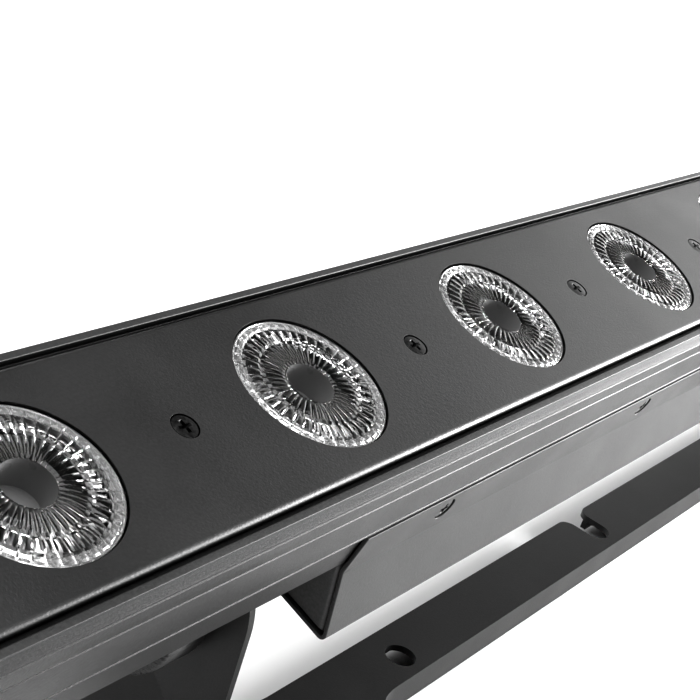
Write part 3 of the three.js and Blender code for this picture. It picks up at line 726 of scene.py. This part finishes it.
def make_lens():
    """The optic, from the middle of its back out to its rim, and over its front into the recess.
    Its materials are clear, the recess's core and the frosted rim."""
    middle = 0.05
    back = [(middle, -20), (5.2, -20), (6.5, -19.6), (8.4, -17.0), (11.5, -14.2), (14.0, -11.2),
            (15.5, -8.3), (16.1, -5.1), (16.2, -4.9), (16.2, -4.5)]
    rim = [(LENS_RADIUS - 0.2, -4.4), (LENS_RADIUS, -4.2), (LENS_RADIUS, -0.8),
           (LENS_RADIUS - 0.1, -0.5), (LENS_RADIUS - 0.35, -0.4)]
    recess = [(LENS_RINGS[0] - 0.15, LENS_FRONT_Z - PILLOW), (RECESS_RADIUS, LENS_FRONT_Z - 0.6),
              (RECESS_RADIUS - 0.1, -3.0), (RECESS_RADIUS - 0.2, RECESS_FLOOR_Z + 0.2),
              (RECESS_RADIUS - 0.4, RECESS_FLOOR_Z), (middle, RECESS_FLOOR_Z)]
    lens = turned(back + rim + lens_front() + recess, PETALS * 8, lens_shape)
    for face in lens.faces:
        spot = face.calc_center_median()
        in_recess = spot.z > RECESS_FLOOR_Z - 0.1 and spot.xy.length < RECESS_RADIUS - 0.02
        on_rim = spot.xy.length > LENS_FROST_RADIUS and spot.z > LENS_FROST_Z
        face.material_index = 1 if in_recess else 2 if on_rim else 0
    return lens


def make_emitter():
    """A square light source: a pale frame with a sunk middle that holds four chips."""
    half = SOURCE_HALF_WIDTH
    base, top = SOURCE_Z
    tiers = ((half, base), (half, top - 0.1), (half - 0.1, top), (half - 0.6, top),
             (half - 0.8, top - 0.25))
    frame_and_well = loft([[(x, y, z) for x, y in rectangle(h, -h, h, 0.4, 3)] for h, z in tiers])
    square = rectangle(1, -1, 1, 0.05, 1)
    chips = []
    for x in (-CHIP_OFFSET, CHIP_OFFSET):
        for y in (-CHIP_OFFSET, CHIP_OFFSET):
            chip = loft([[(x + u, y + v, z) for u, v in square] for z in (top - 0.3, top - 0.1)])
            chips.append((chip, 1))
    return merged([frame_and_well, *chips])


# ---- Driver cover --------------------------------------------
def cover_width(z):
    """Half the cover's outer width at a height."""
    return COVER_HALF_WIDTH + max(0, COVER_BEND_Z - z) * math.tan(COVER_FLARE)


def cover_path():
    """The middle line of the cover's sheet, round its section from the far top edge to the near one."""
    inset = COVER_SHEET / 2
    wall = COVER_HALF_WIDTH - inset
    floor_z = COVER_BOTTOM_Z + inset
    foot = cover_width(floor_z) - inset / math.cos(COVER_FLARE)
    half = [(wall, COVER_TOP_Z), (wall, COVER_BEND_Z - 0.1, 3.0), (foot, floor_z, 1.2)]
    return rounded(mirrored(half), 1, 8, closed=False)


def path_place(path, wanted, steps=4000):
    """The length along a path at which it first comes nearest to a wanted point."""
    lengths = path_lengths(path)
    places = (lengths[-1] * i / steps for i in range(steps + 1))
    return min(places, key=lambda s: math.dist(along_path(path, lengths, s), wanted))


button_names = sorted(n for n in frame["nodes"] if n.startswith("menu_button_"))
button_x = [middle_x(n) for n in button_names]


def make_cover():
    """The cover's sheet: its holes are cut while it is flat, then it is folded."""
    path = cover_path()
    lengths = path_lengths(path)
    width = lengths[-1]
    outline = [(-COVER_HALF_LENGTH, 0), (COVER_HALF_LENGTH, 0),
               (COVER_HALF_LENGTH, width), (-COVER_HALF_LENGTH, width)]
    menu_s = path_place(path, (cover_width(MENU_Z) - COVER_SHEET / 2, MENU_Z))
    across, up = (size / 2 + DISPLAY_GAP for size in DISPLAY_SIZE)
    window = rectangle(across, menu_s - up, menu_s + up, 0.8, 4)
    holes = [[(x + DISPLAY_X, s) for x, s in window]]
    holes += [circle((x, menu_s), BUTTON_HOLE_RADIUS, 32) for x in button_x]
    screw_s = COVER_TOP_Z - COVER_SCREW_Z
    for x in COVER_SCREW_X:
        for side in (-1, 1):
            for s in (screw_s, width - screw_s):
                holes.append(circle((side * x, s), SCREW_HEAD_RADIUS + COVER_SCREW_GAP, 32))
    cuts = [(1, s) for s in lengths[1:-1]]
    sheet = flat_sheet(outline, holes, cuts)
    return thickened(folded(sheet, lambda x, s: (x, *along_path(path, lengths, s))), COVER_SHEET)


def make_end_plate():
    """The plate across the cover's right end, with a strip folded in along each side."""
    face_x = PLATE_X - COVER_SHEET / 2
    reach = PLATE_BEND_RADIUS + 1
    top, bend, low = SKIRT_EDGE_Z - 0.4, COVER_BEND_Z - 0.2, COVER_BOTTOM_Z + COVER_SHEET + 0.5
    strip = rounded([(0, face_x), (reach, face_x), (reach, PLATE_X - STRIP_WIDTH)],
                    PLATE_BEND_RADIUS, 8, closed=False)
    lengths = path_lengths(strip)

    def flat_edge(z):
        """How far from the middle the flat of the plate reaches at a height."""
        return cover_width(z) - COVER_SHEET - PLATE_GAP - COVER_SHEET / 2 - reach

    neck = SKIRT_HALF_WIDTH - HOUSING_WALL - PLATE_GAP
    half = [(neck, FLOOR_BOTTOM_Z - 0.6), (neck, top)] + [(flat_edge(z), z) for z in (top, bend, low)]
    parts = [folded(flat_sheet(mirrored(half)), lambda y, z: (face_x, y, z))]
    for side in (-1, 1):
        fold = flat_sheet([(0, top), (lengths[-1], top), (lengths[-1], low), (0, low)],
                          (), [(1, bend), *((0, s) for s in lengths[1:-1])])

        def place(s, z):
            y, x = along_path(strip, lengths, s)
            return x, side * (flat_edge(z) + y), z
        parts.append(folded(fold, place))
    whole = merged(parts)
    bmesh.ops.remove_doubles(whole, verts=whole.verts, dist=0.02)
    return thickened(whole, COVER_SHEET)


# ---- Yoke ----------------------------------------------------
MID_Z = WEB_TOP - YOKE_SHEET / 2
QUARTER = BEND_RADIUS * math.pi / 2
ARM_BEND_X = YOKE_HALF_WIDTH - YOKE_SHEET / 2 - BEND_RADIUS
ARM_HEAD_X = ARM_BEND_X + QUARTER + PIVOT.z / MM - MID_Z - BEND_RADIUS


def near_edge():
    """The web's near edge, from its middle out into the foot lobe: two curves meet on its flank."""
    flank = (150, -50)
    out = bezier((132, WEB_NEAR_Y), (144, WEB_NEAR_Y), (146, -38), flank, 14)
    down = bezier(flank, (152.7, -58), (156.7, LOBE_NEAR_Y), (162, LOBE_NEAR_Y), 8)
    return [(0, WEB_NEAR_Y)] + out + down[1:]


def half_pattern():
    """The right half of the yoke's flat sheet, from the near edge round to the slot."""
    near, neck = -ARM_HEAD_RADIUS, ARM_NECK_WIDTH - ARM_HEAD_RADIUS
    foot = Vector((math.cos(TAPER_ANGLE), -math.sin(TAPER_ANGLE))) * TAPER_DISTANCE
    along = Vector((math.sin(TAPER_ANGLE), math.cos(TAPER_ANGLE)))
    shoulder = foot + along * math.sqrt(ARM_HEAD_RADIUS ** 2 - TAPER_DISTANCE ** 2)
    neck_top = foot + along * ((neck - foot.x) / along.x)
    shoulder_angle = math.degrees(math.atan2(shoulder.x, shoulder.y))
    edge = YOKE_HALF_WIDTH
    notch_x = ARM_BEND_X - 2
    toe_x = edge - TOE_WIDTH
    outline = near_edge() + arc((edge - LOBE_CORNER, LOBE_NEAR_Y + LOBE_CORNER), LOBE_CORNER, -90, 0, 10)
    outline += [(edge, near - RELIEF), (notch_x, near - RELIEF), (notch_x, near)]
    outline += arc((ARM_HEAD_X, 0), ARM_HEAD_RADIUS, -90, shoulder_angle, 40)
    outline += [(ARM_HEAD_X + neck_top.y, neck), (notch_x, neck), (notch_x, neck + RELIEF),
                (edge, neck + RELIEF)]
    outline += arc((edge - TOE_RADIUS, TOE_CENTRE_Y), TOE_RADIUS, 0, 90, 8)
    outline += arc((toe_x + TOE_RADIUS, TOE_CENTRE_Y), TOE_RADIUS, 90, 180, 8)
    outline += bezier((toe_x, 0), (toe_x, -8.9), (toe_x - 4.3, WEB_FAR_Y), (toe_x - 13, WEB_FAR_Y), 10)
    mouth = (SLOT_HALF_WIDTH + SLOT_MOUTH_RADIUS, WEB_FAR_Y - SLOT_MOUTH_RADIUS)
    outline += arc(mouth, SLOT_MOUTH_RADIUS, 90, 180, 6)
    outline += arc((0, SLOT_END_Y), SLOT_HALF_WIDTH, 0, -90, 8)
    return outline


def fold_arm(x, y):
    """Folds the two arms up at the ends of the web."""
    reach = abs(x) - ARM_BEND_X
    on_arm = -ARM_HEAD_RADIUS - 0.01 <= y <= ARM_NECK_WIDTH - ARM_HEAD_RADIUS + 0.01
    if reach <= 0 or not (on_arm or abs(x) > YOKE_HALF_WIDTH + 1):
        return x, y, MID_Z
    turn = min(reach, QUARTER) / BEND_RADIUS
    out = ARM_BEND_X + BEND_RADIUS * math.sin(turn)
    return math.copysign(out, x), y, MID_Z + BEND_RADIUS * (1 - math.cos(turn)) + max(0, reach - QUARTER)


def make_near_rim():
    """The web's near edge folded down, out into the foot lobes."""
    outer = [Vector(p) for p in near_edge() + [(RIM_END_X, LOBE_NEAR_Y)]]
    inner = []
    for i, point in enumerate(outer):
        along = (outer[min(i + 1, len(outer) - 1)] - outer[max(i - 1, 0)]).normalized()
        inner.append(point + Vector((-along.y, along.x)) * YOKE_SHEET)
    outline = mirrored([tuple(p) for p in outer[1:] + inner[:0:-1]])
    return loft([[(x, y, z) for x, y in outline] for z in (RIM_CLEARANCE, WEB_TOP)])


def make_yoke():
    half = half_pattern()
    outline = half[1:] + [(-x, y) for x, y in reversed(half[1:-1])]
    holes = []
    for side in (-1, 1):
        holes.append(circle((side * CLAMP_HOLE[0], CLAMP_HOLE[1]), CLAMP_HOLE_RADIUS, 64))
        holes.append(circle((side * ARM_HEAD_X, 0), STUD_HOLE_RADIUS, 40))
    bends = [ARM_BEND_X + QUARTER * i / 8 for i in range(9)]
    cuts = [(0, x) for x in bends] + [(0, -x) for x in bends]
    sheet = thickened(folded(flat_sheet(outline, holes, cuts), fold_arm), YOKE_SHEET)
    web = combined(sheet, make_near_rim(), "UNION")
    far_rim_top = WEB_TOP - 0.3
    section = [(WEB_FAR_Y - YOKE_SHEET, RIM_CLEARANCE), (WEB_FAR_Y, RIM_CLEARANCE)]
    section += [(WEB_FAR_Y, far_rim_top), (WEB_FAR_Y - YOKE_SHEET, far_rim_top)]
    for side in (-1, 1):
        web = combined(web, prism(section, *sorted(side * x for x in FAR_RIM_X)), "UNION")
    return web


# ---- Pivot hardware ------------------------------------------
def knob_shape(radius, height, angle):
    """Fine ribs round the knob's rim."""
    if radius < KNOB_RADIUS - 1.4:
        return radius, height
    wave = math.cos(KNOB_RIBS * angle)
    return radius - 0.32 * (1 - wave), height


def make_knob():
    """A ribbed knob on the X axis, with a hub on the arm's side, and its stud."""
    x0, x1, rim = KNOB_INNER_X, KNOB_OUTER_X, KNOB_RADIUS
    hub = [(AXIS, x0 - 1.5), (8, x0 - 1.5), (8, x0)]
    inner = [(rim - 1.5, x0), (rim - 1.2, x0), (rim - 0.5, x0 + 0.3), (rim, x0 + 1.0)]
    outer = [(rim, x1 - 1.6), (rim - 0.4, x1 - 0.7), (rim - 1.2, x1 - 0.15)]
    face = [(rim - 1.8, x1), (12.6, x1), (12.2, x1 - 0.25), (11.8, x1 - 0.9), (11.2, x1 - 1.1),
            (4, x1 - 0.7), (AXIS, x1 - 0.6)]
    stud = [(AXIS, STUD_TIP_X), (STUD_RADIUS - 0.4, STUD_TIP_X), (STUD_RADIUS, STUD_TIP_X + 0.5),
            (STUD_RADIUS, x0 - 1.4), (AXIS, x0 - 1.4)]
    grip = turned(hub + inner + outer + face, KNOB_RIBS * 6, knob_shape)
    return merged([(moved(grip, ALONG_X), 0), (moved(turned(stud, 32), ALONG_X), 1)])


def make_ring(outer, x0, x1):
    """A ring on the X axis with the stud's hole through it and its outer edges broken."""
    inner, edge = STUD_HOLE_RADIUS, 0.2
    profile = [(inner, x0), (outer - edge, x0), (outer, x0 + edge),
               (outer, x1 - edge), (outer - edge, x1), (inner, x1)]
    return moved(turned(profile + profile[:1], 48), ALONG_X)


def make_lug():
    """A bent lug: its flange is on the housing's underside and its plate stands on the pivot."""
    top = PIVOT_DROP + FLOOR_BOTTOM_Z - 0.3 - LUG_SHEET / 2
    plate_x = LUG_OUTER_X - LUG_SHEET / 2
    below = LUG_HEAD_RADIUS + 1
    path = rounded([(LUG_INNER_X, top), (plate_x, top, 2.2), (plate_x, -below)], 1, 8, closed=False)
    lengths = path_lengths(path)
    pivot_s = lengths[-1] - below
    outline = [(-LUG_HALF_WIDTH, 0), (LUG_HALF_WIDTH, 0), (LUG_HALF_WIDTH, LUG_FLANGE)]
    outline += [(LUG_HEAD_RADIUS, pivot_s)] + arc((0, pivot_s), LUG_HEAD_RADIUS, 0, 180, 24)[1:-1]
    outline += [(-LUG_HEAD_RADIUS, pivot_s), (-LUG_HALF_WIDTH, LUG_FLANGE)]
    hole = circle((0, pivot_s), STUD_HOLE_RADIUS, 40)
    sheet = flat_sheet(outline, [hole], [(1, s) for s in lengths[1:-1]])

    def place(y, s):
        x, z = along_path(path, lengths, s)
        return x, y, z - PIVOT_DROP
    return thickened(folded(sheet, place), LUG_SHEET)


def make_foot(node):
    """A turned rubber foot, as wide and high as its CAD node and standing on the floor."""
    low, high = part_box(node)
    radius, height = (high.x - low.x) / 2 / MM, (high.z - low.z) / MM
    profile = [(AXIS, 0), (radius - 1.2, 0), (radius - 0.4, 0.3), (radius, 1.1),
               (radius - 0.8, height - 0.4), (radius - 1.1, height), (AXIS, height)]
    centre = (low + high) / 2
    return shifted(turned(profile, 48), centre.x / MM, centre.y / MM, 0)


# ---- End caps and sockets ------------------------------------
def make_end_cap():
    """The right end cap, with a rounded outer edge and two bores for its sockets."""
    inner = HOUSING_HALF_LENGTH + 0.3
    stations = [(inner, 0.4), (inner + 0.4, 0)]
    for i in range(7):
        angle = math.radians(15 * i)
        x = END_WALL_X - CAP_CORNER + CAP_CORNER * math.sin(angle)
        stations.append((x, CAP_CORNER * (1 - math.cos(angle))))
    rings = []
    for x, inset in stations:
        shape = rectangle(HOUSING_HALF_WIDTH - inset, SKIRT_EDGE_Z + inset, -inset, 1.8 - inset * 0.6, 6)
        rings.append([(x, y, z) for y, z in shape])
    cap = loft(rings)
    x0, x1, radius = END_WALL_X - 15, END_WALL_X + 3, SOCKET_BORE_RADIUS
    for side in (-1, 1):
        bore = moved(turned([(AXIS, x0), (radius, x0), (radius, x1), (AXIS, x1)], 64), ALONG_X)
        cap = combined(cap, shifted(bore, 0, side * SOCKET_OFFSET_Y, SOCKET_Z))
    return cap


def make_socket(cup_radius, depth, pins, pin_radius, pin_ring, sunk):
    """A flanged panel socket for the right end, centred on its own axis: body, then metal."""
    half_width, half_height = SOCKET_PLATE
    plate = flat_sheet(rectangle(half_width, -half_height, half_height, 2, 6),
                       [circle((0, 0), cup_radius + 1.2, 64)])
    plate_x = (END_WALL_X + 0.3 + BAR_END_X) / 2
    plate = folded(plate, lambda y, z: (plate_x, y, z))
    bmesh.ops.solidify(plate, geom=plate.faces[:], thickness=1.6)
    front, floor_x, wall = BAR_END_X, BAR_END_X - depth, SOCKET_BODY_RADIUS
    cup = [(cup_radius, floor_x), (wall, floor_x), (wall, front - 2.2), (cup_radius + 1.5, front - 2.0),
           (cup_radius + 1.5, front - 0.2), (cup_radius + 1.2, front), (cup_radius + 0.3, front),
           (cup_radius, front - 0.3)]
    base = [(AXIS, floor_x - 2), (wall, floor_x - 2), (wall, floor_x), (AXIS, floor_x)]
    parts = [plate, moved(turned(cup + cup[:1], 64), ALONG_X), moved(turned(base, 64), ALONG_X)]
    tip = front - sunk
    pin_profile = [(AXIS, tip - 6), (pin_radius, tip - 6), (pin_radius, tip - 0.5),
                   (pin_radius * 0.6, tip), (AXIS, tip)]
    metal = []
    for i in range(pins):
        angle = math.pi / 2 + 2 * math.pi * i / pins
        pin = moved(turned(pin_profile, 20), ALONG_X)
        metal.append((shifted(pin, 0, pin_ring * math.cos(angle), pin_ring * math.sin(angle)), 1))
    for y, z in ((-10.2, 12.2), (10.2, -12.2)):
        screw_head = [(AXIS, 0), (1.9, 0), (1.9, 0.35), (1.4, 0.6), (AXIS, 0.65)]
        head = moved(turned(screw_head, 24), ALONG_X)
        metal.append((shifted(head, front - 0.85, y, z), 1))
    return merged([(p, 0) for p in parts] + metal)


# ---- The object ----------------------------------------------
YOKE, BAR = "yoke", "bar"
SIDES = (("left", MIRROR_X), ("right", Matrix.Identity(4)))


def bar_spots(xs):
    """Matrices for places along the bar's middle line."""
    return [BAR_PLACE @ Matrix.Translation((x, 0, 0)) for x in xs]


piece("housing_extrusion", make_housing(), housing_paint, BAR, replaces=["housing"])
piece("front_panel_plate", make_panel(), panel_paint, BAR, replaces=["front_panel"],
      edge=0.35)
copies([n + "_optic" for n in lens_names], make_lens(), [acrylic, lens_core, frosted_acrylic],
       BAR, bar_spots(lens_x), replaced=lens_names, sharp=12)
copies([n.replace("lens", "light_source") for n in lens_names], make_emitter(), [ceramic, phosphor],
       BAR, bar_spots(lens_x))
panel_screw = shifted(make_screw(0.12, 6), 0, 0, -PANEL_SCREW_SINK)
copies([n + "_phillips" for n in screw_names], panel_screw, black_zinc,
       BAR, bar_spots(screw_x), replaced=screw_names)

piece("driver_cover_sheet", make_cover(), cover_paint, BAR, replaces=["driver_cover"],
      edge=0.2)
side_places = []
for side in (-1, 1):
    for x in (-COVER_SCREW_X[1], -COVER_SCREW_X[0], *COVER_SCREW_X):
        out = Matrix.Translation((x, side * (COVER_HALF_WIDTH - COVER_SCREW_GAP), COVER_SCREW_Z))
        side_places.append(BAR_PLACE @ out @ Matrix.Rotation(-side * math.pi / 2, 4, "X"))
copies([f"cover_side_screw_{i + 1}" for i in range(len(side_places))], make_screw(0.15, 4),
       black_zinc, BAR, side_places)

for label, mirror in SIDES:
    name = "cover_end_plate_" + label
    piece(name + "_sheet", moved(make_end_plate(), mirror), end_plate_lit_paint, BAR,
          replaces=[name], edge=0.15)
    name = "end_cap_" + label
    piece(name + "_moulding", moved(make_end_cap(), mirror), cap_plastic, BAR,
          replaces=[name])
    name = "pivot_lug_" + label
    piece(name + "_sheet", moved(make_lug(), mirror), yoke_paint, BAR,
          replaces=[name], edge=0.3)
    name = "pivot_insert_" + label
    insert = shifted(make_ring(INSERT_RADIUS, *INSERT_X), 0, 0, -PIVOT_DROP)
    piece(name + "_turned", moved(insert, mirror), brass, BAR, replaces=[name])
    name = "friction_washer_" + label
    washer = moved(make_ring(WASHER_RADIUS, *WASHER_X), mirror)
    piece(name + "_ring", washer, foot_rubber, YOKE, place=PIVOT_PLACE,
          replaces=[name])
    name = "tilt_knob_" + label
    piece(name + "_ribbed", moved(make_knob(), mirror), [knob_plastic, bright_steel], name,
          place=PIVOT_PLACE, replaces=[name], sharp=40)

piece("yoke_folded", make_yoke(), yoke_paint, YOKE, place=YOKE_PLACE, replaces=["yoke"],
      edge=0.35)
for node in [n for n in frame["nodes"] if n.startswith("rubber_foot_")]:
    piece(node + "_moulding", make_foot(node), foot_rubber, YOKE, place=SCALE,
          replaces=[node])

POWER = dict(cup_radius=9.2, depth=11, pins=3, pin_radius=1.4, pin_ring=5, sunk=5)
DMX_IN = dict(cup_radius=8.2, depth=12, pins=3, pin_radius=0.9, pin_ring=4, sunk=5.5)
DMX_OUT = dict(cup_radius=8.2, depth=2, pins=3, pin_radius=1.2, pin_ring=4, sunk=1.9)
for node, shape, side, mirror, plastic in (
        ("power_inlet", POWER, 1, MIRROR_X, power_plastic),
        ("power_outlet", POWER, 1, Matrix.Identity(4), cap_plastic),
        ("dmx_input", DMX_IN, -1, MIRROR_X, socket_plastic),
        ("dmx_output", DMX_OUT, -1, Matrix.Identity(4), socket_plastic)):
    body = shifted(make_socket(**shape), 0, side * SOCKET_OFFSET_Y, SOCKET_Z)
    piece(node + "_flanged", moved(body, mirror), [plastic, bright_steel], BAR,
          replaces=[node])

# These CAD nodes are fine enough as they are, and only get a material.
for node, material in (("lens_carrier", cap_plastic), ("led_board", board_mask),
                       ("driver_board", board_mask), ("psu_module", folded_aluminium),
                       ("display_module", display_window), *((n, foot_rubber) for n in button_names)):
    cad = frame["nodes"][node]
    cad.data.materials.clear()
    cad.data.materials.append(material)

# ---- Floor, light and camera ---------------------------------
FLOOR_REACH = 1.6
FLOOR_GAP = 0.0005
floor_mesh = bpy.data.meshes.new("floor")
floor_corners = [(x * FLOOR_REACH, y * FLOOR_REACH, 0) for x, y in ((-1, -1), (1, -1), (1, 1), (-1, 1))]
floor_mesh.from_pydata(floor_corners, [], [(0, 1, 2, 3)])
floor = bpy.data.objects.new("floor", floor_mesh)
floor.location.z = -FLOOR_GAP
bpy.context.scene.collection.objects.link(floor)
floor_paint = Shader("floor_paper", Roughness=0.9, Specular_IOR_Level=0.1)
floor_paint.colour(floor_paint.noise(3.0), 0.86, 0.88)
floor_mesh.materials.append(floor_paint.material)


class Backdrop:
    """Node helpers for a world whose brightness goes by the direction one looks in."""

    def __init__(self, tree):
        self.nodes, self.links = tree.nodes, tree.links
        self.direction = self.nodes.new("ShaderNodeTexCoord").outputs["Generated"]
        split = self.nodes.new("ShaderNodeSeparateXYZ")
        self.links.new(self.direction, split.inputs[0])
        self.height = split.outputs["Z"]

    def maths(self, operation, *values):
        node = self.nodes.new("ShaderNodeMath")
        node.operation = operation
        for socket, value in zip(node.inputs, values):
            if isinstance(value, bpy.types.NodeSocket):
                self.links.new(value, socket)
            else:
                socket.default_value = value
        return node.outputs[0]

    def ramp(self, value, low, high, start, end):
        node = self.nodes.new("ShaderNodeMapRange")
        node.interpolation_type = "SMOOTHSTEP"
        for key, number in zip(("From Min", "From Max", "To Min", "To Max"), (low, high, start, end)):
            node.inputs[key].default_value = number
        self.links.new(value, node.inputs["Value"])
        return node.outputs["Result"]

    def toward(self, side):
        """How nearly one looks to a side, from -1 up to 1."""
        node = self.nodes.new("ShaderNodeVectorMath")
        node.operation = "DOT_PRODUCT"
        node.inputs[1].default_value = side
        self.links.new(self.direction, node.inputs[0])
        return node.outputs["Value"]

    def plus_for_camera(self, value, extra):
        """A value that is brighter by extra where the camera sees the sky straight."""
        camera_ray = self.nodes.new("ShaderNodeLightPath").outputs["Is Camera Ray"]
        return self.maths("MULTIPLY_ADD", camera_ray, extra, value)


def area_light(name, place, aim, size, power):
    """A rectangular light at a place, turned to face a point. size is in metres and power in watts."""
    data = bpy.data.lights.new(name, "AREA")
    data.shape = "RECTANGLE"
    data.size, data.size_y = size
    data.energy = power
    obj = bpy.data.objects.new(name, data)
    obj.location = place
    obj.rotation_euler = (Vector(aim) - Vector(place)).to_track_quat("-Z", "Y").to_euler()
    bpy.context.scene.collection.objects.link(obj)
    return obj


area_light("softbox_overhead", (-0.2, 0.1, 1.8), (-0.2, 0.0, 0.0), (1.6, 2.4), 60)
area_light("softbox_right", (0.85, -0.58, 0.36), (0.35, -0.05, 0.02), (0.6, 0.5), 34)
area_light("softbox_back", (-0.1, 1.5, 0.42), (-0.1, 0.1, 0.0), (2.4, 0.5), 36)

# The sky glows low down on one side and is nearly black elsewhere, but the camera sees it pale.
GLOW_SIDE = Vector((1, -0.5, 0)).normalized()
GLOW_STRENGTH = 4.8
DARK_STRENGTH = 0.03
BACKGROUND_STRENGTH = 1.6
world = bpy.data.worlds.new("studio")
bpy.context.scene.world = world
world.use_nodes = True
sky = Backdrop(world.node_tree)
low_sky = sky.ramp(sky.height, 0.66, 0.3, 0, 1)
right_sky = sky.ramp(sky.toward(GLOW_SIDE), 0.4, 0.95, 0, 1)
glow = sky.maths("MULTIPLY", low_sky, right_sky)
lit = sky.maths("MULTIPLY_ADD", glow, GLOW_STRENGTH, DARK_STRENGTH)
sky.nodes["Background"].inputs["Color"].default_value = (1, 1, 1, 1)
seen = sky.plus_for_camera(lit, BACKGROUND_STRENGTH)
sky.links.new(seen, sky.nodes["Background"].inputs["Strength"])

CAMERA_PLACE = Vector((-0.45286, -0.15802, 0.25973))
CAMERA_LOOK = Vector((0.790425, 0.44737, -0.41845))
CAMERA_ROLL = math.radians(17.87)
CAMERA_LENS = 80.07
CAMERA_SENSOR = 36
camera = bpy.data.objects.new("camera", bpy.data.cameras.new("camera"))
bpy.context.scene.collection.objects.link(camera)
bpy.context.scene.camera = camera
camera.data.lens = CAMERA_LENS
camera.data.sensor_width = CAMERA_SENSOR
camera.data.clip_start = 0.02
level = CAMERA_LOOK.to_track_quat("-Z", "Y").to_matrix().to_4x4()
camera.matrix_world = Matrix.Translation(CAMERA_PLACE) @ level @ Matrix.Rotation(CAMERA_ROLL, 4, "Z")
view = bpy.context.scene.view_settings
view.view_transform = "Standard"
view.gamma = 0.8
